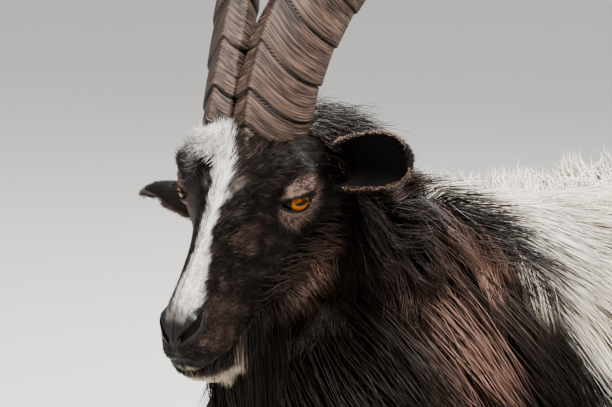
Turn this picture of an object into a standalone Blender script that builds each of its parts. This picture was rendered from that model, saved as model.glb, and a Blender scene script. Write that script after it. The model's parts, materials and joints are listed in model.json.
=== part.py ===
"""A feral billy goat standing still, at life size.

The goat faces +X with its left side towards +Y and its soles on z = 0. The head
is turned a little to the left and carried just above the withers. Head, neck,
torso, tail, legs, hooves, ears, eyes and the lengths of each horn are separate
solids that meet at thin cuts. Sizes are in metres.
"""

import math
import random

import bmesh
import bpy
from mathutils import Matrix, Vector
from mathutils.bvhtree import BVHTree

GAP = 0.0003
SHORTEST_EDGE = 0.000005
UP = Vector((0.0, 0.0, 1.0))

# Trunk
BACK_HEIGHT = 0.715
BELLY_HEIGHT = 0.375
CHEST_HALF_WIDTH = 0.132
BRISKET_X = 0.425
RUMP_X = -0.412
TRUNK_RING = 18
TRUNK_STEPS = 16

# Head: its own axes run forward along the nose, left, and up out of the forehead
EYES_AT = Vector((0.495, 0.040, 0.800))
HEAD_TURN = math.radians(23)
HEAD_DIP = math.radians(36)
NOSE_AHEAD = 0.174
POLL_BEHIND = -0.118
JAW_BELOW_EYES = 0.116
HEAD_RING = 24
HEAD_STEPS = 22

# Eyes
EYE_RADIUS = 0.0155
EYE_SIDE = 0.0500
EYE_BELOW = 0.0030
LID_THICKNESS = 0.0030
LID_OPENING = (0.0160, 0.0068)
EYE_TILT = math.radians(-27)

# Ears
EAR_LENGTH = 0.114
EAR_WIDTH = 0.052
EAR_THICKNESS = 0.003
EAR_ROOT = Vector((-0.066, 0.058, -0.031))

# Horns
HORN_LENGTH = 0.680
HORN_DEPTH = 0.100
HORN_WIDTH = 0.050
HORN_FRONT_FACE = 0.84
HORN_INNER_FACE = 0.70
HORN_LEAN = math.radians(5.4)
HORN_SPLAY = 38
HORN_RADIUS_OF_CURVE = (0.225, 0.315)
HORN_ROOT = Vector((-0.0313, 0.0190, 0.022))
HORN_RINGS = 7
HORN_SIDES = 12
HORN_TWIST = (math.radians(11), math.radians(91))
HORN_SPLIT = 0.47

# Legs: side of the body and the fore-and-aft shift of each stance
FORE_Y = 0.088
HIND_Y = 0.094
LEG_TOP_CUT = 0.395
LEG_LEAN = 0.02
LEG_RING = 8
HOOF_HEIGHT = 0.040
CLAW_LENGTH = 0.064
CLAW_WIDTH = 0.024
CLAW_SPREAD = 0.0135

# Coat
LOCK_THICKNESS = 0.007
ROOT_DEPTH = 0.012
SEED = 14

# x, top, widest height, bottom, half width, squareness above, squareness below
TRUNK_SECTIONS = (
    (RUMP_X, 0.645, 0.590, 0.535, 0.042, 2.0, 2.0),
    (-0.370, 0.700, 0.590, 0.470, 0.095, 2.2, 2.0),
    (-0.292, BACK_HEIGHT + 0.012, 0.600, 0.425, 0.122, 2.2, 2.0),
    (-0.165, BACK_HEIGHT + 0.006, 0.575, BELLY_HEIGHT + 0.020, CHEST_HALF_WIDTH, 2.1, 2.1),
    (-0.020, BACK_HEIGHT + 0.006, 0.550, BELLY_HEIGHT - 0.008, 0.154, 2.0, 2.2),
    (0.120, BACK_HEIGHT + 0.010, 0.555, BELLY_HEIGHT, 0.146, 2.0, 2.1),
    (0.220, BACK_HEIGHT + 0.022, 0.570, BELLY_HEIGHT + 0.015, CHEST_HALF_WIDTH, 2.0, 2.0),
    (0.310, BACK_HEIGHT + 0.005, 0.575, BELLY_HEIGHT + 0.035, 0.120, 2.0, 2.0),
    (0.385, 0.670, 0.560, 0.450, 0.094, 2.0, 2.0),
    (BRISKET_X, 0.610, 0.550, 0.500, 0.045, 2.0, 2.0),
)

# forward, top, widest height, bottom, half width, squareness above and below
HEAD_SECTIONS = (
    (POLL_BEHIND, -0.008, -0.045, -0.096, 0.047, 2.1, 2.2),
    (-0.095, 0.006, -0.036, -0.106, 0.058, 2.2, 2.2),
    (-0.070, 0.022, -0.026, -0.110, 0.063, 2.3, 2.1),
    (-0.045, 0.044, -0.018, -0.110, 0.064, 2.3, 2.1),
    (-0.008, 0.056, -0.012, -0.106, 0.060, 2.2, 2.0),
    (0.030, 0.041, -0.036, -0.099, 0.047, 1.75, 2.2),
    (0.070, 0.026, -0.048, -0.090, 0.036, 1.60, 2.4),
    (0.108, 0.018, -0.048, -0.086, 0.029, 1.65, 2.5),
    (0.138, 0.011, -0.045, -0.087, 0.0265, 1.80, 2.5),
    (0.155, 0.004, -0.041, -0.078, 0.0235, 1.90, 2.4),
    (0.166, -0.004, -0.037, -0.064, 0.0180, 2.0, 2.3),
    (0.172, -0.013, -0.034, -0.053, 0.0110, 2.0, 2.2),
    (NOSE_AHEAD, -0.024, -0.033, -0.042, 0.0045, 2.0, 2.0),
)

# Swellings and hollows of the head: centre, reach, push. Each is mirrored.
HEAD_FORMS = (
    ((-0.012, 0.054, 0.018), 0.024, (0.000, 0.0050, 0.0050)),
    ((-0.040, 0.056, -0.052), 0.042, (0.000, 0.0060, 0.0000)),
    ((0.045, 0.042, -0.004), 0.026, (0.000, -0.0030, 0.0000)),
    ((0.150, 0.017, -0.008), 0.014, (0.002, 0.0045, 0.0030)),
    ((0.150, 0.023, -0.040), 0.018, (0.002, 0.0030, -0.0010)),
    ((0.142, 0.012, -0.082), 0.018, (0.004, 0.0000, -0.0020)),
    ((0.020, 0.000, 0.042), 0.030, (0.000, 0.0000, 0.0020)),
    ((-0.010, 0.014, 0.056), 0.028, (0.000, 0.0000, 0.0130)),
)

# Forms of the trunk, in the same way
TRUNK_FORMS = (
    ((-0.285, 0.115, 0.520), 0.110, (0.000, 0.016, 0.000)),
    ((0.240, 0.120, 0.560), 0.110, (0.000, 0.012, 0.000)),
    ((0.180, 0.000, 0.740), 0.060, (0.000, 0.000, 0.010)),
    ((-0.205, 0.120, 0.600), 0.060, (0.000, -0.010, 0.000)),
)

# height, forward of the hoof, fore-and-aft half, sideways half
FORE_SECTIONS = (
    (0.520, -0.020, 0.062, 0.034),
    (0.430, -0.022, 0.048, 0.033),
    (0.340, -0.008, 0.031, 0.025),
    (0.262, -0.004, 0.0235, 0.0225),
    (0.232, -0.002, 0.0235, 0.0220),
    (0.190, -0.005, 0.0165, 0.0155),
    (0.130, -0.006, 0.0150, 0.0140),
    (0.092, -0.006, 0.0190, 0.0185),
    (0.062, 0.002, 0.0155, 0.0165),
    (0.036, 0.010, 0.0185, 0.0200),
)
HIND_SECTIONS = (
    (0.540, 0.070, 0.088, 0.040),
    (0.450, 0.072, 0.072, 0.038),
    (0.380, 0.045, 0.050, 0.030),
    (0.320, 0.008, 0.032, 0.022),
    (0.278, -0.017, 0.0270, 0.0200),
    (0.245, -0.018, 0.0215, 0.0185),
    (0.180, -0.014, 0.0165, 0.0150),
    (0.130, -0.010, 0.0160, 0.0145),
    (0.094, -0.006, 0.0190, 0.0185),
    (0.062, 0.002, 0.0155, 0.0165),
    (0.036, 0.010, 0.0185, 0.0200),
)

# Lock rows down the back of the upper leg: height, behind the hoof's place, length
FORE_LOCKS = ((0.375, -0.060, 0.090), (0.335, -0.050, 0.075))
HIND_LOCKS = ((0.375, -0.030, 0.100), (0.340, -0.060, 0.085))

# name, sections, place over the hoof, side, lock rows
LEGS = (
    ("foreleg_left", FORE_SECTIONS, Vector((0.270, FORE_Y, 0.0)), 1.0, FORE_LOCKS),
    ("foreleg_right", FORE_SECTIONS, Vector((0.296, -FORE_Y, 0.0)), -1.0, FORE_LOCKS),
    ("hindleg_left", HIND_SECTIONS, Vector((-0.338, HIND_Y, 0.0)), 1.0, HIND_LOCKS),
    ("hindleg_right", HIND_SECTIONS, Vector((-0.310, -HIND_Y, 0.0)), -1.0, HIND_LOCKS),
)

# How far each ear is turned forward, raised, rolled about its own length and let down at its root
EAR_POSES = {
    "left": (math.radians(30), math.radians(12), math.radians(0), 0.0),
    "right": (math.radians(-4), math.radians(3), math.radians(72), 0.050),
}


def blend(rows, at):
    """Row of section sizes at a position, on a smooth curve through the named rows."""
    last = len(rows) - 1
    low = 0
    forward = 1.0 if rows[last][0] > rows[0][0] else -1.0
    while low < last - 1 and (at - rows[low + 1][0]) * forward > 0.0:
        low += 1
    before, start, end = rows[max(low - 1, 0)], rows[low], rows[low + 1]
    after = rows[min(low + 2, last)]
    span = end[0] - start[0]
    t = (at - start[0]) / span
    sizes = []
    for column in range(1, len(start)):
        slope_in = (end[column] - before[column]) * span / (end[0] - before[0])
        slope_out = (after[column] - start[column]) * span / (after[0] - start[0])
        sizes.append(
            (2 * t**3 - 3 * t**2 + 1) * start[column]
            + (t**3 - 2 * t**2 + t) * slope_in
            + (-2 * t**3 + 3 * t**2) * end[column]
            + (t**3 - t**2) * slope_out
        )
    return sizes


def section_point(sizes, along, angle):
    """Point of a body section: angle 0 is its top, a quarter turn its left side."""
    top, middle, bottom, half, square_above, square_below = sizes
    side, rise = math.sin(angle), math.cos(angle)
    square = square_above if rise > 0.0 else square_below
    reach = (top if rise > 0.0 else bottom) - middle
    return Vector(
        (
            along,
            half * math.copysign(abs(side) ** (2 / square), side),
            middle + reach * abs(rise) ** (2 / square),
        )
    )


def formed(point, forms):
    """The point moved by the swellings and hollows round it, on both sides."""
    moved = point.copy()
    for centre, reach, push in forms:
        for side in (1.0, -1.0):
            away = point - Vector((centre[0], centre[1] * side, centre[2]))
            share = math.exp(-2.0 * (away.length / reach) ** 2)
            if centre[1] == 0.0:
                share *= 0.5
            moved += Vector((push[0], push[1] * side, push[2])) * share
    return moved


def tube_mesh(rings):
    """Closed bmesh through rings of points, each end closed by a fan to its middle."""
    mesh = bmesh.new()
    rows = [[mesh.verts.new(point) for point in ring] for ring in rings]
    count = len(rows[0])
    for low, high in zip(rows, rows[1:]):
        for i in range(count):
            j = (i + 1) % count
            mesh.faces.new((low[i], low[j], high[j], high[i]))
    for row, step in ((rows[0], -1), (rows[-1], 1)):
        middle = mesh.verts.new(sum((v.co for v in row), Vector()) / count)
        for i in range(count):
            j = (i + step) % count
            mesh.faces.new((row[i], row[j], middle))
    if mesh.calc_volume(signed=True) < 0.0:
        bmesh.ops.reverse_faces(mesh, faces=mesh.faces)
    return mesh


def add_object(name, mesh, collection, material=None):
    """Object with the bmesh as its triangulated data, freeing the bmesh."""
    bmesh.ops.triangulate(mesh, faces=mesh.faces)
    data = bpy.data.meshes.new(name)
    mesh.to_mesh(data)
    mesh.free()
    if material:
        data.materials.append(material)
    created = bpy.data.objects.new(name, data)
    collection.objects.link(created)
    return created


def even_steps(first, last, count, crowd=0.0):
    """Positions from first to last, closer together towards the last one as crowd grows."""
    shares = [i / (count - 1) for i in range(count)]
    return [first + (last - first) * (s + crowd * math.sin(math.pi * s) / math.pi) for s in shares]


def head_frame():
    """Matrix from the head's own axes to the body's."""
    turn = Matrix.Rotation(HEAD_TURN, 4, "Z")
    dip = Matrix.Rotation(HEAD_DIP, 4, "Y")
    return Matrix.Translation(EYES_AT) @ turn @ dip


def head_point(along, angle):
    return formed(section_point(blend(HEAD_SECTIONS, along), along, angle), HEAD_FORMS)


def trunk_mesh():
    rings = []
    for x in even_steps(RUMP_X, BRISKET_X, TRUNK_STEPS):
        sizes = blend(TRUNK_SECTIONS, x)
        angles = [2 * math.pi * i / TRUNK_RING for i in range(TRUNK_RING)]
        rings.append([formed(section_point(sizes, x, a), TRUNK_FORMS) for a in angles])
    return tube_mesh(rings)


def neck_mesh():
    """The neck, from inside the chest to inside the back of the head."""
    frame = head_frame()
    start, start_depth, start_width = Vector((0.225, 0.0, 0.575)), 0.155, 0.112
    end, end_depth, end_width = frame @ Vector((-0.072, 0.0, -0.042)), 0.048, 0.052
    along_start = Vector((0.75, 0.0, 0.66)).normalized()
    along_end = (frame.to_3x3() @ Vector((0.90, 0.0, 0.15))).normalized()
    rings = []
    for i in range(9):
        t = i / 8
        bend = t * t * (3 - 2 * t)
        centre = start.lerp(end, t) + Vector((0.030, 0.0, -0.012)) * math.sin(math.pi * t)
        along = along_start.lerp(along_end, bend).normalized()
        side = UP.cross(along).normalized()
        rise = along.cross(side)
        depth = start_depth + (end_depth - start_depth) * bend
        width = start_width + (end_width - start_width) * bend
        ring = []
        for k in range(TRUNK_RING):
            a = 2 * math.pi * k / TRUNK_RING
            ring.append(centre + rise * depth * math.cos(a) + side * width * math.sin(a))
        rings.append(ring)
    return tube_mesh(rings)


def head_mesh(grow=0.0):
    """The head without its details, made larger all round by grow."""
    angles = [2 * math.pi * i / HEAD_RING for i in range(HEAD_RING)]
    rings = [
        [head_point(along, a) for a in angles]
        for along in even_steps(POLL_BEHIND, NOSE_AHEAD, HEAD_STEPS, crowd=0.85)
    ]
    mesh = tube_mesh(rings)
    mesh.transform(head_frame())
    mesh.normal_update()
    for vert, push in [(v, v.normal * grow) for v in mesh.verts]:
        vert.co += push
    return mesh


def ball(centre, radius, rows=7):
    mesh = bmesh.new()
    bmesh.ops.create_uvsphere(mesh, u_segments=2 * rows, v_segments=rows, radius=radius)
    bmesh.ops.translate(mesh, verts=mesh.verts, vec=centre)
    return mesh


def eye_axes(side):
    """Turn from an upright disc's axis to the way the eye looks, in the head's axes."""
    look = Vector((0.42, 0.90 * side, 0.08)).normalized()
    across = look.cross(UP).normalized()
    level = Matrix.Rotation(EYE_TILT * side, 4, "Z")
    return Matrix((across, look.cross(across), look)).transposed().to_4x4() @ level


def eye_centre(side):
    return Vector((0.0, EYE_SIDE * side, -EYE_BELOW))


def lid_opening(side):
    """Almond-shaped cutter through the lids, pointed at both corners."""
    half, height = LID_OPENING
    outline = []
    for i in range(12):
        a = 2 * math.pi * i / 12
        outline.append((half * math.cos(a), height * math.sin(a) * abs(math.sin(a)) ** 0.4))
    rings = []
    for depth in (0.004, 0.035):
        rings.append([Vector((x, y, depth)) for x, y in outline])
    mesh = tube_mesh(rings)
    place = Matrix.Translation(eye_centre(side)) @ eye_axes(side)
    mesh.transform(head_frame() @ place)
    return mesh


def nostril(side):
    """Comma-shaped cutter: a slit that runs up and back from the nose's front."""
    rings = []
    for i in range(6):
        t = i / 5
        centre = Vector((0.170 - 0.024 * t, (0.0070 + 0.0160 * t) * side, -0.020 + 0.018 * t**1.3))
        radius = 0.0042 * (1.0 - 0.62 * t)
        inward = Vector((-0.9, -0.5 * side, 0.0)).normalized()
        rise = Vector((0.25, 0.1 * side, 1.0)).normalized()
        ring = []
        for k in range(8):
            a = 2 * math.pi * k / 8
            ring.append(centre + inward * 0.007 * math.cos(a) + rise * radius * math.sin(a))
        rings.append(ring)
    mesh = tube_mesh(rings)
    mesh.transform(head_frame())
    return mesh


def mouth_line():
    """Wedge cutter along the mouth, from one corner round the front to the other."""
    rings = []
    for i in range(19):
        t = i / 9 - 1.0
        reach = abs(t)
        along = 0.1690 - 0.0530 * reach**1.5
        height = -0.0500 - 0.0050 * reach + 0.0060 * reach**3
        half = blend(HEAD_SECTIONS, along)[3]
        side = (half - 0.0015) * math.copysign(reach**0.55, t)
        surface = Vector((along + 0.0035 * (1 - reach), side, height))
        inward = Vector((-1.0 + reach, -math.copysign(reach, t), 0.0)).normalized()
        open_half = 0.0011 * (1.2 - reach)
        rings.append(
            [
                surface - inward * 0.006 + Vector((0, 0, open_half + 0.0006)),
                surface + inward * 0.0045,
                surface - inward * 0.006 - Vector((0, 0, open_half + 0.0006)),
            ]
        )
    mesh = tube_mesh(rings)
    mesh.transform(head_frame())
    return mesh


def ear_mesh(side, turn, lift, roll, drop):
    """Leaf-shaped cup: a narrow tube at the root that opens forwards and closes at the tip."""
    rings = []
    for i in range(9):
        t = i / 8
        width = EAR_WIDTH * (0.42 + 0.58 * math.sin(math.pi * min(1.0, 0.10 + 0.62 * t)) ** 0.8)
        width *= (1.0 - t**5) ** 0.5 if t < 1.0 else 0.0
        width = max(width, 0.004)
        curl = math.radians(118 - 62 * t)
        radius = width / 2 / math.sin(min(curl, math.pi / 2))
        along = EAR_LENGTH * t
        droop = -0.010 * t**2
        outer, inner = [], []
        for k in range(7):
            a = curl * (k / 3 - 1.0)
            reach = Vector((-math.cos(a), 0.0, math.sin(a)))
            stem = Vector((0.0, along, droop))
            outer.append(stem + reach * (radius + EAR_THICKNESS))
            inner.append(stem + reach * radius)
        rings.append(outer + inner[::-1])
    mesh = tube_mesh(rings)
    spin = Matrix.Rotation(roll, 4, "Y")
    raise_up = Matrix.Rotation(lift, 4, "X")
    forward = Matrix.Rotation(-turn, 4, "Z")
    mesh.transform(forward @ raise_up @ spin)
    if side < 0:
        mesh.transform(Matrix.Scale(-1, 4, Vector((0, 1, 0))))
        bmesh.ops.reverse_faces(mesh, faces=mesh.faces)
    level = Matrix.Rotation(HEAD_TURN, 4, "Z")
    root = head_frame() @ Vector((EAR_ROOT.x, EAR_ROOT.y * side, EAR_ROOT.z)) - UP * drop
    mesh.transform(Matrix.Translation(root) @ level)
    return mesh


def horn_groove(share):
    """How deep a growth ring's groove is at a share of the horn's length, from 0 to 1."""
    depth = 0.0
    for ring in range(HORN_RINGS):
        at = 0.045 + 0.80 * (ring / (HORN_RINGS - 1)) ** 0.92
        depth = max(depth, math.exp(-((share - at) / 0.0055) ** 2))
    return depth


def horn_path(steps, side):
    """Places, sideways and outward directions along one horn, in the body's axes."""
    frame = head_frame()
    place = frame @ Vector((HORN_ROOT.x, HORN_ROOT.y * side, HORN_ROOT.z))
    back = Matrix.Rotation(HEAD_TURN, 3, "Z") @ Vector((-1.0, 0.0, 0.0))
    left = UP.cross(-back)
    lean = HORN_LEAN
    found = []
    previous = 0.0
    for share in steps:
        length = (share - previous) * HORN_LENGTH
        previous = share
        splay = math.radians(HORN_SPLAY * (1.0 - math.exp(-1.9 * share)))
        radius = HORN_RADIUS_OF_CURVE[0] + (HORN_RADIUS_OF_CURVE[1] - HORN_RADIUS_OF_CURVE[0]) * share
        lean += length / radius
        along = UP * math.cos(lean) + back * math.sin(lean)
        along = (along + left * side * math.tan(splay)).normalized()
        place = place + along * length
        front = (UP * math.sin(lean) - back * math.cos(lean)).normalized()
        front = (front - along * front.dot(along)).normalized()
        twist = HORN_TWIST[0] + HORN_TWIST[1] * share * (1.0 - 0.5 * share)
        front = Matrix.Rotation(-side * twist, 3, along) @ front
        found.append((share, place.copy(), along, front, along.cross(front)))
    return found


def horn_steps(first, last):
    """Stations along a horn: even ones, with three at each growth ring's groove."""
    steps = {first, last}
    for ring in range(HORN_RINGS):
        at = 0.045 + 0.80 * (ring / (HORN_RINGS - 1)) ** 0.92
        for nudge in (-0.010, -0.002, 0.008):
            if first + 0.004 < at + nudge < last - 0.004:
                steps.add(at + nudge)
    if last == 1.0:
        steps |= {0.90, 0.94, 0.97, 0.99}
    return sorted(steps)


def horn_mesh(side, first, last, grow=0.0):
    """One length of a horn: a keeled section that narrows, with a groove at each ring."""
    rings = []
    wanted = horn_steps(first, last)
    fine = sorted(set(wanted) | {i / 200 for i in range(201)})
    for share, place, along, front, across in horn_path(fine, side):
        if share not in wanted:
            continue
        size = (1.0 - share) ** 0.55 * (1.0 - 0.18 * share) if share < 1.0 else 0.0
        size = max(size, 0.03)
        size *= 1.0 - 0.055 * horn_groove(share)
        ring = []
        for k in range(HORN_SIDES):
            a = 2 * math.pi * k / HORN_SIDES
            forth, inward = math.cos(a), math.sin(a)
            narrow = 1.0 - 0.26 * max(forth, 0.0) ** 1.3
            flat = HORN_INNER_FACE if inward > 0.0 else 1.0
            forth = min(forth, HORN_FRONT_FACE + 0.12 * (forth - HORN_FRONT_FACE))
            ring.append(
                place
                + front * (HORN_DEPTH / 2 * size + grow) * forth
                - across * (HORN_WIDTH / 2 * size * narrow * flat + grow) * inward * side
                - along * grow * (share == first)
            )
        rings.append(ring)
    return tube_mesh(rings)


def leg_mesh(sections, at, side, top, bottom, grow=0.0):
    """Length of a leg between two heights. Both fore and hind legs lean in towards the body."""
    rings = []
    for z in even_steps(top, bottom, 4 + round((top - bottom) / 0.040)):
        forward, fore, sideways = blend(sections, z)
        lean = LEG_LEAN * (z - HOOF_HEIGHT)
        ring = []
        for k in range(LEG_RING):
            a = 2 * math.pi * k / LEG_RING
            ring.append(
                Vector(
                    (
                        at.x + forward + (fore + grow) * math.cos(a),
                        at.y - side * lean + (sideways + grow) * math.sin(a),
                        z,
                    )
                )
            )
        rings.append(ring)
    return tube_mesh(rings)


def hoof_mesh(at):
    """Two claws side by side, joined by the soft heel between them."""
    pieces = []
    for side in (1.0, -1.0):
        rings = []
        for height, back, front, half in (
            (0.0, -0.026, CLAW_LENGTH - 0.026, CLAW_WIDTH / 2),
            (0.010, -0.027, CLAW_LENGTH - 0.031, CLAW_WIDTH / 2),
            (HOOF_HEIGHT - 0.004 - GAP, -0.022, CLAW_LENGTH - 0.046, CLAW_WIDTH / 2 - 0.002),
        ):
            ring = []
            for k in range(8):
                a = 2 * math.pi * k / 8
                middle, reach = (front + back) / 2, (front - back) / 2
                narrow = 1.0 - 0.45 * max(math.cos(a), 0.0) ** 2
                ring.append(
                    Vector(
                        (
                            at.x + 0.004 + middle + reach * math.cos(a),
                            at.y + side * CLAW_SPREAD + half * math.sin(a) * narrow,
                            height,
                        )
                    )
                )
            rings.append(ring)
        pieces.append(tube_mesh(rings))
    heel = ball(Vector((0.0, 0.0, 0.0)), 1.0, 4)
    heel.transform(Matrix.Diagonal((0.014, 0.016, 0.010, 1.0)))
    bmesh.ops.translate(heel, verts=heel.verts, vec=Vector((at.x - 0.008, at.y, 0.0175)))
    pieces.append(heel)
    return pieces


def lock_mesh(path, sides, width, thickness):
    """Flat lock: a lens-shaped section that swells from the root and tapers to a point."""
    mesh = bmesh.new()
    rows = []
    shares = (0.75, 1.0, 0.72)
    for place, across, share in zip(path, sides, shares):
        ahead = path[len(rows) + 1] - place
        out = across.cross(ahead).normalized()
        rows.append(
            [
                mesh.verts.new(place + across * width / 2 * share),
                mesh.verts.new(place + out * thickness / 2 * share),
                mesh.verts.new(place - across * width / 2 * share),
                mesh.verts.new(place - out * thickness / 2 * share),
            ]
        )
    tip = mesh.verts.new(path[-1])
    for low, high in zip(rows, rows[1:]):
        for i in range(4):
            j = (i + 1) % 4
            mesh.faces.new((low[i], low[j], high[j], high[i]))
    for i in range(4):
        mesh.faces.new((rows[-1][i], rows[-1][(i + 1) % 4], tip))
    mesh.faces.new(rows[0][::-1])
    if mesh.calc_volume(signed=True) < 0.0:
        bmesh.ops.reverse_faces(mesh, faces=mesh.faces)
    return mesh


def comb(skin, root, lie, length, lift):
    """Path of a lock that lies over the skin and hangs free where the skin turns away."""
    place, normal, _, _ = skin.find_nearest(root)
    path = [place - normal * ROOT_DEPTH]
    sides = []
    here = place + normal * lift * 0.35
    heading = (lie - normal * lie.dot(normal)).normalized()
    sides.append(heading.cross(normal).normalized())
    steps = 9
    for step in range(1, steps + 1):
        near, normal, _, _ = skin.find_nearest(here)
        along = lie - normal * min(lie.dot(normal), 0.0)
        heading = (heading * 0.5 + along.normalized() * 0.5).normalized()
        here = here + heading * length / steps
        near, normal, _, _ = skin.find_nearest(here)
        depth = (here - near).dot(normal)
        wanted = lift * (0.35 + 0.65 * step / steps)
        if depth < wanted:
            here = here + normal * (wanted - depth)
        if step % 3 == 0:
            path.append(here.copy())
            sides.append(heading.cross(normal).normalized())
    return path, sides


def union(name, meshes, collection, material):
    """One object from closed meshes, joined, keeping only the largest closed surface."""
    if len(meshes) == 1:
        return add_object(name, meshes[0], collection, material)
    pool = bpy.data.collections.new(name + "_pieces")
    bpy.context.scene.collection.children.link(pool)
    base = add_object(name, meshes[0], collection, material)
    extra = [add_object(f"{name}_piece", mesh, pool) for mesh in meshes[1:]]
    joined = base.modifiers.new("Join", "BOOLEAN")
    joined.operation = "UNION"
    joined.operand_type = "COLLECTION"
    joined.collection = pool
    joined.solver = "MANIFOLD"
    apply_modifiers(base)
    for piece in extra:
        bpy.data.objects.remove(piece)
    bpy.data.collections.remove(pool)
    keep_largest(base)
    return base


def apply_modifiers(target):
    """Replace the object's data by what its modifiers make of it, in its own material."""
    own = list(target.data.materials)[:1]
    bpy.context.view_layer.update()
    graph = bpy.context.evaluated_depsgraph_get()
    data = bpy.data.meshes.new_from_object(target.evaluated_get(graph))
    target.modifiers.clear()
    target.data = data
    data.materials.clear()
    for polygon in data.polygons:
        polygon.material_index = 0
    for kept in own:
        data.materials.append(kept)


def keep_largest(target):
    """Drop loose scraps, inner shells and edges too short to keep."""
    mesh = bmesh.new()
    mesh.from_mesh(target.data)
    bmesh.ops.dissolve_degenerate(mesh, dist=SHORTEST_EDGE, edges=mesh.edges)
    seen, best = set(), []
    for start in mesh.faces:
        if start in seen:
            continue
        island, queue = [start], [start]
        seen.add(start)
        while queue:
            for edge in queue.pop().edges:
                for face in edge.link_faces if edge.is_manifold else ():
                    if face not in seen:
                        seen.add(face)
                        island.append(face)
                        queue.append(face)
        if len(island) > len(best):
            best = island
    kept = set(best)
    bmesh.ops.delete(mesh, geom=[f for f in mesh.faces if f not in kept], context="FACES")
    mesh.to_mesh(target.data)
    mesh.free()


def cut(target, cutter, operation="DIFFERENCE"):
    """Cut the object by a cutter object, then keep its largest closed surface."""
    modifier = target.modifiers.new("Cut", "BOOLEAN")
    modifier.operation = operation
    modifier.object = cutter
    modifier.solver = "MANIFOLD"
    apply_modifiers(target)
    keep_largest(target)


def half_space(name, point, normal, offset, cutters):
    """Box cutter that fills the side of a plane towards the normal, past an offset."""
    mesh = bmesh.new()
    bmesh.ops.create_cube(mesh, size=2.0)
    bmesh.ops.translate(mesh, verts=mesh.verts, vec=Vector((0.0, 0.0, 1.0 + offset)))
    turn = UP.rotation_difference(normal).to_matrix().to_4x4()
    mesh.transform(Matrix.Translation(point) @ turn)
    return hidden(add_object(name, mesh, cutters))


def hidden(cutter):
    cutter.hide_render = True
    cutter.display_type = "WIRE"
    return cutter


def copy_of(source, name, collection):
    twin = bpy.data.objects.new(name, source.data.copy())
    collection.objects.link(twin)
    return twin


def srgb(code):
    """Linear colour from a hexadecimal sRGB code."""
    channels = [int(code[i : i + 2], 16) / 255 for i in (0, 2, 4)]
    return [c / 12.92 if c <= 0.04045 else ((c + 0.055) / 1.055) ** 2.4 for c in channels] + [1.0]


def material(name, code, roughness, metallic=0.0):
    made = bpy.data.materials.new(name)
    made.use_nodes = True
    shader = made.node_tree.nodes["Principled BSDF"]
    shader.inputs["Base Color"].default_value = srgb(code)
    shader.inputs["Roughness"].default_value = roughness
    shader.inputs["Metallic"].default_value = metallic
    made.diffuse_color = srgb(code)
    return made


class Coat:
    """Locks of one part of the body, kept so that a neighbour can be cleared of them."""

    def __init__(self, skin, seed):
        self.skin = BVHTree.FromBMesh(skin)
        self.draw = random.Random(seed)
        self.locks = []

    def grow(self, root, lie, length, width, lift, spread=0.10):
        jitter = Vector((self.draw.uniform(-1, 1) for _ in range(3))) * spread
        length *= self.draw.uniform(0.85, 1.15)
        width *= self.draw.uniform(0.85, 1.15)
        lift *= self.draw.uniform(0.75, 1.25)
        path, sides = comb(self.skin, root, (lie.normalized() + jitter).normalized(), length, lift)
        self.locks.append((path, sides, width, LOCK_THICKNESS))

    def meshes(self, extra=0.0):
        return [lock_mesh(p, s, w + extra, t + extra) for p, s, w, t in self.locks]


def trunk_surface(x, angle):
    return formed(section_point(blend(TRUNK_SECTIONS, x), x, angle), TRUNK_FORMS)


def trunk_coat(skin):
    """Long hair of the body: tiers that fall from the back, over the flanks, past the belly."""
    coat = Coat(skin, SEED)
    for degrees, length, count, lift in (
        (100, 0.150, 9, 0.014),
        (62, 0.165, 9, 0.018),
        (24, 0.165, 8, 0.022),
    ):
        for side in (1.0, -1.0):
            for i in range(count):
                x = -0.390 + 0.720 * (i + coat.draw.uniform(0.2, 0.8)) / count
                angle = math.radians(degrees + coat.draw.uniform(-7, 7)) * side
                root = trunk_surface(x, angle)
                coat.grow(root, Vector((-0.35, 0.25 * side, -1.0)), length, 0.080, lift)
    for degrees in (40, 85):
        for side in (1.0, -1.0):
            root = trunk_surface(-0.404, math.radians(degrees) * side)
            coat.grow(root, Vector((-0.30, 0.15 * side, -1.0)), 0.125, 0.072, 0.018)
    for i in range(8):
        x = -0.370 + 0.560 * i / 7
        side = 1.0 if i % 2 else -1.0
        root = trunk_surface(x, math.radians(5) * side)
        coat.grow(root, Vector((-0.9, 0.55 * side, -0.10)), 0.120, 0.062, 0.022)
    for i in range(4):
        x = -0.080 + 0.360 * i / 3
        root = trunk_surface(x, math.radians(165 if i % 2 else 195))
        coat.grow(root, Vector((-0.3, 0.0, -1.0)), 0.095, 0.050, 0.004)
    return coat


def neck_coat(skin):
    """Mane and throat hair, in rows round the neck from the head down to the chest."""
    coat = Coat(skin, SEED + 4)
    frame = head_frame()
    start, end = Vector((0.270, 0.0, 0.620)), frame @ Vector((-0.120, 0.0, -0.030))
    along = (end - start).normalized()
    across = UP.cross(along).normalized()
    rise = along.cross(across)
    for row in range(4):
        t = 1.0 - row / 3
        for degrees in (34, 68, 102, 140):
            for side in (1.0, -1.0):
                angle = math.radians(degrees + coat.draw.uniform(-8, 8)) * side
                aim = rise * math.cos(angle) + across * math.sin(angle)
                root = start.lerp(end, t + coat.draw.uniform(-0.08, 0.08)) + aim * 0.14
                lie = Vector((-0.06 - 0.12 * row, 0.30 * side, -1.0))
                coat.grow(root, lie, 0.170, 0.066, 0.010 + 0.005 * row)
    for row in range(3):
        for side in (1.0, 0.0, -1.0):
            root = Vector((0.46, 0.055 * side, 0.720 - 0.080 * row))
            coat.grow(root, Vector((-0.05, 0.25 * side, -1.0)), 0.150, 0.060, 0.018)
    for row in range(6):
        side = 1.0 if row % 2 else -1.0
        root = start.lerp(end, row / 5) + rise * 0.14 + across * 0.02 * side
        coat.grow(root, Vector((-0.85, 0.55 * side, -0.15)), 0.095, 0.060, 0.016)
    return coat


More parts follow.
